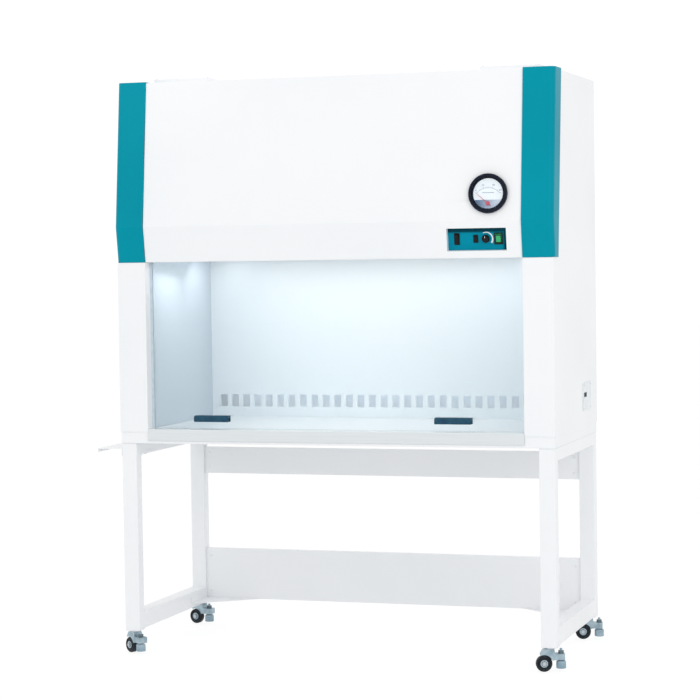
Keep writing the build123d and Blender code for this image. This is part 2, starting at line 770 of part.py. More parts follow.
eye = impeller_eye * blower_size
blade_root = eye + 1
blade_tip = wheel_rim - 1.5
blade_span = blade_tip - blade_root
with BuildSketch(Plane.XY) as blade:
    with BuildLine():
        ThreePointArc((blade_root, 0), (blade_root + 0.57 * blade_span, -0.034 * blade_span),
                      (blade_tip, 0.34 * blade_span))
        Line((blade_tip, 0.34 * blade_span), (blade_tip - 0.5, 0.34 * blade_span + blade_thickness))
        ThreePointArc((blade_tip - 0.5, 0.34 * blade_span + blade_thickness),
                      (blade_root + 0.51 * blade_span, blade_thickness - 0.034 * blade_span),
                      (blade_root, blade_thickness))
        Line((blade_root, blade_thickness), (blade_root, 0))
    make_face()

for side, name in sides:
    middle = side * blower_spacing / 2
    hub = middle - blower_width / 2 + motor_length + 4
    end = impeller_width / 2
    with BuildPart() as impeller:
        with BuildSketch(across(middle - end)):
            with Locations((blower_depth, blower_z)):
                with PolarLocations(0, blade_count):
                    add(blade.sketch)
        extrude(amount=impeller_width)
        for x in (middle - end, middle + end - 3):
            with BuildSketch(across(x)):
                with Locations((blower_depth, blower_z)):
                    Circle(wheel_rim)
                    Circle(eye, mode=Mode.SUBTRACT)
            extrude(amount=3)
        with BuildSketch(across(hub)):
            with Locations((blower_depth, blower_z)):
                Circle(wheel_rim)
        extrude(amount=3)
        with BuildSketch(across(hub)):
            with Locations((blower_depth, blower_z)):
                Circle(2.4 * motor_shaft)
        extrude(amount=18)
        with BuildSketch(across(hub - shaft_reach)):
            with Locations((blower_depth, blower_z)):
                Circle(motor_shaft)
        extrude(amount=shaft_length)
    write(impeller.part, f"impeller_{name}")

# ---- Lamps -------------------------------------------------------------------------------
tube_rows = (lamp_depth - tube_gap / 2, lamp_depth + tube_gap / 2)
lamp_y = (lamp_depth - lamp_channel / 2, lamp_depth + lamp_channel / 2)
holder_x = (tube_length / 2, inner - lamp_end_gap)
holder_top = tube_height + tube_radius + lamp_seat
with BuildPart() as lamp_fixture:
    block((-holder_x[1], holder_x[1]), lamp_y, (holder_top, holder_top + lamp_body))
    for side, name in sides:
        block(mirrored(side, *holder_x), lamp_y, (ceiling, holder_top))
write(lamp_fixture.part, "lamp_fixture")

with BuildPart() as lamp_tubes:
    for y in tube_rows:
        with BuildSketch(across(-tube_length / 2)):
            with Locations((y, tube_height)):
                Circle(tube_radius)
        extrude(amount=tube_length)
write(lamp_tubes.part, "lamp_tubes")

# ---- Sash --------------------------------------------------------------------------------
sash_z = (bench_height + fit_gap, hood_bottom + sash_overlap)
guide_x = (inner - guide_width, inner)
groove = glass + 2 * fit_gap
glass_half = inner - sheet - 1
with BuildPart() as sash_glass:
    block((-glass_half, glass_half), (sash_depth, sash_depth + glass), sash_z)
    chamfer(sash_glass.edges().filter_by(Axis.X), 0.8)
write(sash_glass.part, "sash_glass")

with BuildPart() as sash_handles:
    for side, name in sides:
        middle = side * handle_spacing / 2 + handle_shift
        with BuildSketch(across(middle - handle_length / 2)):
            with BuildLine():
                top = handle_bottom + handle_height
                reach = sash_depth - handle_reach
                Polyline((sash_depth, top), (reach + 6, top), (reach, top - 6), (reach, handle_bottom),
                         (reach + 4, handle_bottom), (reach + 4, top - 7), (sash_depth - 6, top - 7),
                         (sash_depth - 6, handle_bottom), (sash_depth, handle_bottom), close=True)
            make_face()
        extrude(amount=handle_length)
write(sash_handles.part, "sash_handles")

with BuildPart() as sash_guides:
    for side, name in sides:
        guide_y = (sash_depth - fit_gap - sheet, sash_depth + glass + fit_gap + sheet)
        block(mirrored(side, *guide_x), guide_y, (bench_height, strip_top))
        block(mirrored(side, guide_x[0] - 1, inner - sheet),
              (sash_depth - fit_gap, sash_depth + glass + fit_gap),
              (bench_height - 1, strip_top + 1), Mode.SUBTRACT)
write(sash_guides.part, "sash_guides")

# ---- Control panel -----------------------------------------------------------------------
control = on_hood(control_x, control_z, -brow)
plate_face = -control_recess
switches = {"lamp_switch": (-65, 17, 36), "uv_switch": (-6, 15, 24), "power_switch": (65, 27, 36)}
with BuildPart() as control_plate:
    with BuildSketch(control.offset(plate_face)):
        Rectangle(control_width + 2 * sheet, control_height + 2 * sheet)
    extrude(amount=-sheet)
    with BuildSketch(control.offset(plate_face + 1)):
        for u, width, height in switches.values():
            with Locations((u, 0)):
                Rectangle(width - 2 * bezel_rim + 0.4, height - 2 * bezel_rim + 0.4)
        with Locations((knob_u, 0)):
            Circle(knob_shaft + 2)
    extrude(amount=-sheet - 2, mode=Mode.SUBTRACT)
write(control_plate.part, "control_plate")

plate = control.offset(plate_face)


def rocker_plane(u):
    """Side view of a rocker: its sketch x runs up the plate, its pivot at the origin."""
    origin = plate.from_local_coords((u, 0, bezel_height / 2))
    return Plane(origin=origin, x_dir=plate.y_dir, z_dir=plate.x_dir)


with BuildPart() as switch_bodies:
    for u, width, height in switches.values():
        with BuildSketch(plate):
            with Locations((u, 0)):
                Rectangle(width, height)
        extrude(amount=bezel_height)
        with BuildSketch(plate):
            with Locations((u, 0)):
                Rectangle(width - 2 * bezel_rim, height - 2 * bezel_rim)
        extrude(amount=-bezel_depth)
        with BuildSketch(plate.offset(bezel_height)):
            with Locations((u, 0)):
                Rectangle(width - 2 * (bezel_rim + bezel_wall), height - 2 * (bezel_rim + bezel_wall))
        extrude(amount=-bezel_depth, mode=Mode.SUBTRACT)
        with BuildSketch(rocker_plane(u)):
            Circle(rocker_pin + shaft_play)
        extrude(amount=width / 2 - bezel_rim - 0.2, both=True, mode=Mode.SUBTRACT)
    with BuildSketch(plate.offset(-sheet)):
        with Locations((knob_u, 0)):
            Circle(knob_shaft + 6)
    extrude(amount=4 - bezel_depth)
    with BuildSketch(plate.offset(-sheet - 1)):
        with Locations((knob_u, 0)):
            Circle(knob_shaft + 1.9)
    extrude(amount=sheet + knob_lift)
    with BuildSketch(plate.offset(knob_lift)):
        with Locations((knob_u, 0)):
            Circle(knob_shaft + shaft_play)
    extrude(amount=-knob_lift - sheet - bezel_depth + 6, mode=Mode.SUBTRACT)
write(switch_bodies.part, "switch_bodies")

for name, (u, width, height) in switches.items():
    side_cut = rocker_plane(u)
    reach = height / 2 - bezel_rim - bezel_wall - 0.4
    lift = 0.342 * reach
    end = 0.94 * reach
    with BuildPart() as rocker:
        with BuildSketch(turned(side_cut, rocker_tilt)):
            with BuildLine():
                Polyline((end, lift), (0, 0.1 * reach + 1), (-end, lift))
                ThreePointArc((-end, lift), (-reach, 0), (-end, -lift))
                Line((-end, -lift), (end, -lift))
                ThreePointArc((end, -lift), (reach, 0), (end, lift))
            make_face()
        extrude(amount=width / 2 - bezel_rim - bezel_wall - 0.3, both=True)
        with BuildSketch(side_cut):
            Circle(rocker_pin)
        extrude(amount=width / 2 - bezel_rim - 0.4, both=True)
    write(rocker.part, name)

with BuildPart() as speed_knob:
    with BuildSketch(plate.offset(knob_lift + 0.3)):
        with Locations((knob_u, 0)):
            Circle(knob_radius)
    extrude(amount=4, taper=8)
    with BuildSketch(plate.offset(knob_lift + 0.3)):
        with Locations((knob_u, 0)):
            Circle(0.76 * knob_radius)
            with PolarLocations(0.76 * knob_radius, 12):
                Circle(1, mode=Mode.SUBTRACT)
    extrude(amount=knob_height)
    with BuildSketch(plate.offset(knob_lift + 1)):
        with Locations((knob_u, 0)):
            Circle(knob_shaft)
    extrude(amount=-knob_lift - sheet - bezel_depth + 8)
write(speed_knob.part, "speed_knob")

# ---- Pressure gauge ----------------------------------------------------------------------
gauge = on_hood(gauge_x, gauge_z, slope)
dial_seat = gauge_proud - dial_recess
dial_top = dial_seat + dial_thickness
lens_top = gauge_proud - lens_rim
lens_seat = lens_top - lens_thickness
with BuildPart() as gauge_case:
    with BuildSketch(gauge):
        Circle(gauge_radius)
    extrude(amount=gauge_proud)
    chamfer(gauge_case.edges().sort_by(Axis.Y)[:1], bezel_chamfer)
    with BuildSketch(gauge):
        Circle(gauge_body_radius)
    extrude(amount=-gauge_body_depth)
    with BuildSketch(gauge.offset(gauge_proud)):
        Circle(dial_radius + 2 * fit_gap)
    extrude(amount=-dial_recess, mode=Mode.SUBTRACT)
    with BuildSketch(gauge.offset(gauge_proud)):
        Circle(dial_radius + 3)
    extrude(amount=lens_seat - gauge_proud, mode=Mode.SUBTRACT)
    with BuildSketch(gauge.offset(dial_seat)):
        with Locations((0, -pointer_drop)):
            Circle(pointer_pin + shaft_play)
    extrude(amount=-5, mode=Mode.SUBTRACT)
write(gauge_case.part, "gauge_case")

with BuildPart() as gauge_dial:
    with BuildSketch(gauge.offset(dial_seat)):
        Circle(dial_radius)
        with Locations((0, -pointer_drop)):
            Circle(pointer_pin + 0.4, mode=Mode.SUBTRACT)
    extrude(amount=dial_thickness)
write(gauge_dial.part, "gauge_dial")

with BuildPart() as gauge_pointer:
    pivot = Plane(origin=gauge.from_local_coords((0, -pointer_drop, dial_top + 1.5)),
                  x_dir=gauge.x_dir, z_dir=gauge.z_dir)
    with BuildSketch(turned(pivot, pointer_rest)):
        with BuildLine():
            Polyline((-1.2, -pointer_tail), (1.2, -pointer_tail), (0.4, pointer_length),
                     (-0.4, pointer_length), close=True)
        make_face()
        Circle(pointer_hub)
    extrude(amount=0.8)
    with BuildSketch(pivot.offset(0.8)):
        Circle(pointer_pin)
    extrude(amount=-7)
write(gauge_pointer.part, "gauge_pointer")

with BuildPart() as gauge_lens:
    with BuildSketch(gauge.offset(lens_seat)):
        Circle(dial_radius + 2.7)
    extrude(amount=lens_thickness)
write(gauge_lens.part, "gauge_lens")

# ---- Mains outlet ------------------------------------------------------------------------
outlet_y = cabinet_depth - outlet_from_back
recess_y = outlet_y + outlet_recess_shift
recess_z = outlet_z + outlet_recess_lift
with BuildPart() as power_outlet:
    block((half, half + trim_proud), (outlet_y - outlet_width / 2, outlet_y + outlet_width / 2),
          (outlet_z - outlet_height / 2, outlet_z + outlet_height / 2))
    fillet(power_outlet.edges().filter_by(Axis.X), 6)
    block((half - outlet_box_depth, half),
          (outlet_y - outlet_box_width / 2, outlet_y + outlet_box_width / 2),
          (outlet_z - outlet_box_height / 2, outlet_z + outlet_box_height / 2))
    block((half + trim_proud - outlet_recess_depth, half + trim_proud + 1),
          (recess_y - outlet_recess_width / 2, recess_y + outlet_recess_width / 2),
          (recess_z - outlet_recess_height / 2, recess_z + outlet_recess_height / 2), Mode.SUBTRACT)
    recess_floor = half + trim_proud - outlet_recess_depth
    for y, z in ((-10, 3), (10, 3), (0, -4)):
        block((recess_floor - 8, recess_floor + 1), (recess_y + y - 1.2, recess_y + y + 1.2),
              (recess_z + z - 3, recess_z + z + 3), Mode.SUBTRACT)
write(power_outlet.part, "power_outlet")
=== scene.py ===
import bpy
import bmesh
import json
import math
from mathutils import Matrix, Vector


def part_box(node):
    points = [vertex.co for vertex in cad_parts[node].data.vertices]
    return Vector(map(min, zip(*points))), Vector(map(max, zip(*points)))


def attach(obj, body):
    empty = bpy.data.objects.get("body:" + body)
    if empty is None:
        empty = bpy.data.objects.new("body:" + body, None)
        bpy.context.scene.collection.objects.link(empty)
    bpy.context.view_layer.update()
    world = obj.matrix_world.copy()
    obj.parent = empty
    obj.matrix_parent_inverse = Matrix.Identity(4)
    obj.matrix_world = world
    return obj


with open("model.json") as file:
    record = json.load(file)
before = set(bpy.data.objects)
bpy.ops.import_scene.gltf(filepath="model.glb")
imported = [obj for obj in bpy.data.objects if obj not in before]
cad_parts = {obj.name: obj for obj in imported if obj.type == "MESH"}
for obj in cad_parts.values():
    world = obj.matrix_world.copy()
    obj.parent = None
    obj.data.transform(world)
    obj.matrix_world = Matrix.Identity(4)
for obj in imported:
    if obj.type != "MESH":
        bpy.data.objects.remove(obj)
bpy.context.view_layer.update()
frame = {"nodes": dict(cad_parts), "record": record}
parts = frame["nodes"]
print("frame loaded:", len(parts), "parts")

# x runs from the cabinet's centre line, y back from its front, z up from the floor, all in millimetres
panelLeft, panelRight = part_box("side_panel_left"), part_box("side_panel_right")
centreX = (panelLeft[0].x + panelRight[1].x) / 2
frontY = panelLeft[0].y


def at(x, y, z):
    return Vector((centreX + x / 1000, frontY + y / 1000, z / 1000))


def screen(red, green, blue):
    steps = []
    for value in (red, green, blue):
        share = value / 255
        steps.append(share / 12.92 if share < 0.04045 else ((share + 0.055) / 1.055) ** 2.4)
    return (*steps, 1)


def local(x, y, z):
    # a point in a spot's own axes, from millimetres
    return Vector((x / 1000, y / 1000, z / 1000))


def polar(radius, turn, height):
    return local(radius * math.cos(turn), radius * math.sin(turn), height)


def evenly(low, high, count):
    return [low + (high - low) * step / (count - 1) for step in range(count)]


def addObject(name, data):
    thing = bpy.data.objects.new(name, data)
    bpy.context.scene.collection.objects.link(thing)
    return thing


def newMaterial(name):
    material = bpy.data.materials.new(name)
    material.use_nodes = True
    return material, material.node_tree, material.node_tree.nodes["Principled BSDF"]


# shared surface effects
def addNode(tree, kind, inputs=None, **settings):
    node = tree.nodes.new(kind)
    for key, value in settings.items():
        setattr(node, key, value)
    for key, value in (inputs or {}).items():
        if isinstance(value, bpy.types.NodeSocket):
            tree.links.new(value, node.inputs[key])
        else:
            node.inputs[key].default_value = value
    return node


def newGroup(name, inputs, outputs):
    group = bpy.data.node_groups.new(name, "ShaderNodeTree")
    for label, kind, value in inputs:
        socket = group.interface.new_socket(label, in_out="INPUT", socket_type="NodeSocket" + kind)
        socket.default_value = value
    for label, kind in outputs:
        group.interface.new_socket(label, in_out="OUTPUT", socket_type="NodeSocket" + kind)
    return group, group.nodes.new("NodeGroupInput"), group.nodes.new("NodeGroupOutput")


def mixColours(tree, factor, first, second, mode="MIX"):
    blend = addNode(tree, "ShaderNodeMix", {0: factor, 6: first, 7: second}, data_type="RGBA", blend_type=mode)
    return blend.outputs[2]


def spread(tree, value, low, high, newLow, newHigh):
    return addNode(tree, "ShaderNodeMapRange", {0: value, 1: low, 2: high, 3: newLow, 4: newHigh}).outputs[0]


def combine(tree, operation, first, second):
    return addNode(tree, "ShaderNodeMath", {0: first, 1: second}, operation=operation).outputs[0]


skinOutputs = [("Colour", "Color"), ("Roughness", "Float"), ("Height", "Float")]


def closeSkin(group, start, end, colour, gloss, height):
    # joins the skin's outputs, its roughness varied by gloss
    rough = combine(group, "ADD", start.outputs["Roughness"], gloss)
    for label, value in (("Colour", colour), ("Roughness", rough), ("Height", height)):
        group.links.new(value, end.inputs[label])
    return group


def buildCoatSkin():
    # baked powder coat: fine orange peel, faint clouds in its colour and gloss
    group, start, end = newGroup("coatSkin", [
        ("Colour", "Color", (0.9, 0.9, 0.9, 1)), ("Shade", "Color", (0.85, 0.85, 0.86, 1)),
        ("Peel Scale", "Float", 620), ("Cloud Scale", "Float", 2.6), ("Roughness", "Float", 0.4)], skinOutputs)
    place = addNode(group, "ShaderNodeTexCoord").outputs["Object"]
    clouds = addNode(group, "ShaderNodeTexNoise", {
        "Vector": place, "Scale": start.outputs["Cloud Scale"], "Detail": 3})
    peel = addNode(group, "ShaderNodeTexNoise", {"Vector": place, "Scale": start.outputs["Peel Scale"], "Detail": 1})
    factor = spread(group, clouds.outputs[0], 0.35, 0.7, 0, 1)
    colour = mixColours(group, factor, start.outputs["Colour"], start.outputs["Shade"])
    gloss = spread(group, clouds.outputs[0], 0.3, 0.7, -0.05, 0.06)
    return closeSkin(group, start, end, colour, gloss, peel.outputs[0])


def buildBrushedGrain():
    # long fine scratches along one axis, and painted shade that darkens faces which do not look up
    group, start, end = newGroup("brushedGrain", [
        ("Colour", "Color", (0.7, 0.7, 0.7, 1)), ("Streak", "Color", (0.6, 0.6, 0.6, 1)),
        ("Grain", "Vector", (8, 900, 900)), ("Roughness", "Float", 0.3),
        ("Side Shade", "Color", (1, 1, 1, 1))], skinOutputs)
    place = addNode(group, "ShaderNodeTexCoord").outputs["Object"]
    stretch = addNode(group, "ShaderNodeVectorMath", {0: place, 1: start.outputs["Grain"]}, operation="MULTIPLY")
    streaks = addNode(group, "ShaderNodeTexNoise", {"Vector": stretch.outputs[0], "Scale": 1, "Detail": 2})
    stains = addNode(group, "ShaderNodeTexNoise", {"Vector": place, "Scale": 5, "Detail": 4})
    factor = spread(group, streaks.outputs[0], 0.3, 0.7, 0, 1)
    colour = mixColours(group, factor, start.outputs["Colour"], start.outputs["Streak"])
    # painted shade: faces turned away from up take the side colour, faces looking up keep their own
    normal = addNode(group, "ShaderNodeSeparateXYZ", {0: addNode(group, "ShaderNodeNewGeometry").outputs["Normal"]})
    upward = spread(group, normal.outputs[2], 0.1, 0.7, 0, 1)
    paintedSideShade = mixColours(group, upward, start.outputs["Side Shade"], (1, 1, 1, 1))
    colour = mixColours(group, 1, colour, paintedSideShade, "MULTIPLY")
    gloss = spread(group, stains.outputs[0], 0.3, 0.7, -0.06, 0.07)
    return closeSkin(group, start, end, colour, gloss, streaks.outputs[0])


def buildMouldGrain():
    # moulded plastic or rubber: fine texture with duller patches
    group, start, end = newGroup("mouldGrain", [
        ("Colour", "Color", (0.1, 0.1, 0.1, 1)), ("Shade", "Color", (0.08, 0.08, 0.08, 1)),
        ("Grain Scale", "Float", 1800), ("Roughness", "Float", 0.45)], skinOutputs)
    place = addNode(group, "ShaderNodeTexCoord").outputs["Object"]
    grain = addNode(group, "ShaderNodeTexVoronoi", {"Vector": place, "Scale": start.outputs["Grain Scale"]})
    patches = addNode(group, "ShaderNodeTexNoise", {"Vector": place, "Scale": 45, "Detail": 3})
    factor = spread(group, patches.outputs[0], 0.4, 0.65, 0, 1)
    colour = mixColours(group, factor, start.outputs["Colour"], start.outputs["Shade"])
    gloss = spread(group, patches.outputs[0], 0.3, 0.7, -0.07, 0.08)
    return closeSkin(group, start, end, colour, gloss, grain.outputs[0])


def buildZincSpangle():
    # crystals of galvanised sheet
    group, start, end = newGroup("zincSpangle", [
        ("Colour", "Color", (0.66, 0.68, 0.7, 1)), ("Shade", "Color", (0.5, 0.53, 0.56, 1)),
        ("Spangle Scale", "Float", 95), ("Roughness", "Float", 0.38)], skinOutputs)
    place = addNode(group, "ShaderNodeTexCoord").outputs["Object"]
    cells = addNode(group, "ShaderNodeTexVoronoi", {"Vector": place, "Scale": start.outputs["Spangle Scale"]})
    split = addNode(group, "ShaderNodeSeparateColor", {0: cells.outputs["Color"]})
    colour = mixColours(group, split.outputs[0], start.outputs["Colour"], start.outputs["Shade"])
    gloss = spread(group, split.outputs[1], 0, 1, -0.1, 0.12)
    return closeSkin(group, start, end, colour, gloss, split.outputs[2])


def buildDustVeil():
    # floor dust and scuffs that gather low down and on faces turned up
    group, start, end = newGroup("dustVeil", [
        ("Colour", "Color", (0.1, 0.1, 0.1, 1)), ("Dust", "Color", (0.42, 0.44, 0.45, 1)),
        ("Amount", "Float", 0.4), ("Scale", "Float", 160)], [("Colour", "Color"), ("Mask", "Float")])
    place = addNode(group, "ShaderNodeTexCoord").outputs["Object"]
    facing = addNode(group, "ShaderNodeSeparateXYZ", {0: addNode(group, "ShaderNodeNewGeometry").outputs["Normal"]})
    specks = addNode(group, "ShaderNodeTexNoise", {"Vector": place, "Scale": start.outputs["Scale"], "Detail": 5})
    upward = spread(group, facing.outputs[2], -0.2, 1, 0.15, 1)
    broken = spread(group, specks.outputs[0], 0.42, 0.68, 0, 1)
    mask = combine(group, "MULTIPLY", upward, broken)
    amount = combine(group, "MULTIPLY", mask, start.outputs["Amount"])
    colour = mixColours(group, amount, start.outputs["Colour"], start.outputs["Dust"])
    group.links.new(colour, end.inputs["Colour"])
    group.links.new(amount, end.inputs["Mask"])
    return group


def buildSlantTint():
    # one colour that fades into another from left to right, with fine grain
    group, start, end = newGroup("slantTint", [
        ("Colour", "Color", (0.1, 0.2, 0.3, 1)), ("Shade", "Color", (0.5, 0.5, 0.6, 1)),
        ("From", "Float", 0), ("To", "Float", 1), ("Roughness", "Float", 0.35)], skinOutputs)
    place = addNode(group, "ShaderNodeTexCoord").outputs["Object"]
    split = addNode(group, "ShaderNodeSeparateXYZ", {0: place})
    grain = addNode(group, "ShaderNodeTexNoise", {"Vector": place, "Scale": 900, "Detail": 2})
    factor = spread(group, split.outputs[0], start.outputs["From"], start.outputs["To"], 0, 1)
    colour = mixColours(group, factor, start.outputs["Colour"], start.outputs["Shade"])
    gloss = spread(group, grain.outputs[0], 0.3, 0.7, -0.05, 0.05)
    return closeSkin(group, start, end, colour, gloss, grain.outputs[0])


def buildRecessShadow():
    # painted shadow: the colour darkens towards the top and right edges of a recess, standing in for the shade its
    # walls cast
    group, start, end = newGroup("recessShadow", [
        ("Colour", "Color", (0, 0.3, 0.4, 1)), ("Shade", "Color", (0, 0.1, 0.15, 1)),
        ("Right", "Float", 1), ("Top", "Float", 1), ("Reach", "Float", 0.01),
        ("Roughness", "Float", 0.4)], skinOutputs)
    place = addNode(group, "ShaderNodeNewGeometry").outputs["Position"]
    split = addNode(group, "ShaderNodeSeparateXYZ", {0: place})
    peel = addNode(group, "ShaderNodeTexNoise", {"Vector": place, "Scale": 800, "Detail": 1})
    edges = []
    for edge, along in (("Right", 0), ("Top", 2)):
        inset = combine(group, "SUBTRACT", start.outputs[edge], split.outputs[along])
        share = combine(group, "DIVIDE", inset, start.outputs["Reach"])
        edges.append(spread(group, share, 0.75, 1.25, 1, 0))
    factor = combine(group, "MAXIMUM", edges[0], edges[1])
    colour = mixColours(group, factor, start.outputs["Colour"], start.outputs["Shade"])
    group.links.new(colour, end.inputs["Colour"])
    group.links.new(start.outputs["Roughness"], end.inputs["Roughness"])
    group.links.new(peel.outputs[0], end.inputs["Height"])
    return group


coatSkin, brushedGrain, mouldGrain = buildCoatSkin(), buildBrushedGrain(), buildMouldGrain()
zincSpangle, dustVeil = buildZincSpangle(), buildDustVeil()
slantTint, recessShadow = buildSlantTint(), buildRecessShadow()


def makeFinish(name, group, values, bump=0.2, depth=0.0002, dust=None, **shaderValues):
    material, tree, shader = newMaterial(name)
    skin = addNode(tree, "ShaderNodeGroup", node_tree=group)
    for key, value in values.items():
        skin.inputs[key].default_value = value
    colour = skin.outputs["Colour"]
    if dust:
        veil = addNode(tree, "ShaderNodeGroup", node_tree=dustVeil)
        tree.links.new(colour, veil.inputs["Colour"])
        for key, value in dust.items():
            veil.inputs[key].default_value = value
        colour = veil.outputs["Colour"]
    relief = addNode(tree, "ShaderNodeBump", {"Strength": bump, "Distance": depth, "Height": skin.outputs["Height"]})
    tree.links.new(colour, shader.inputs["Base Color"])
    tree.links.new(skin.outputs["Roughness"], shader.inputs["Roughness"])
    tree.links.new(relief.outputs["Normal"], shader.inputs["Normal"])
    for key, value in shaderValues.items():
        shader.inputs[key.replace("_", " ")].default_value = value
    return material


def makeGlass(name, colour, roughness=0.0, seeThrough=0.0):
    # clear to light, so that what is behind stays lit; a thin pane also lets some sight straight through
    material, tree, shader = newMaterial(name)
    shader.inputs["Base Color"].default_value = colour
    shader.inputs["Roughness"].default_value = roughness
    shader.inputs["IOR"].default_value = 1.45
    shader.inputs["Transmission Weight"].default_value = 1
    clear = addNode(tree, "ShaderNodeBsdfTransparent", {0: (0.97, 0.99, 0.99, 1)})
    rays = addNode(tree, "ShaderNodeLightPath")
    share = combine(tree, "MAXIMUM", rays.outputs["Is Shadow Ray"], seeThrough)
    blend = addNode(tree, "ShaderNodeMixShader", {0: share, 1: shader.outputs[0], 2: clear.outputs[0]})
    tree.links.new(blend.outputs[0], tree.nodes["Material Output"].inputs["Surface"])
    return material


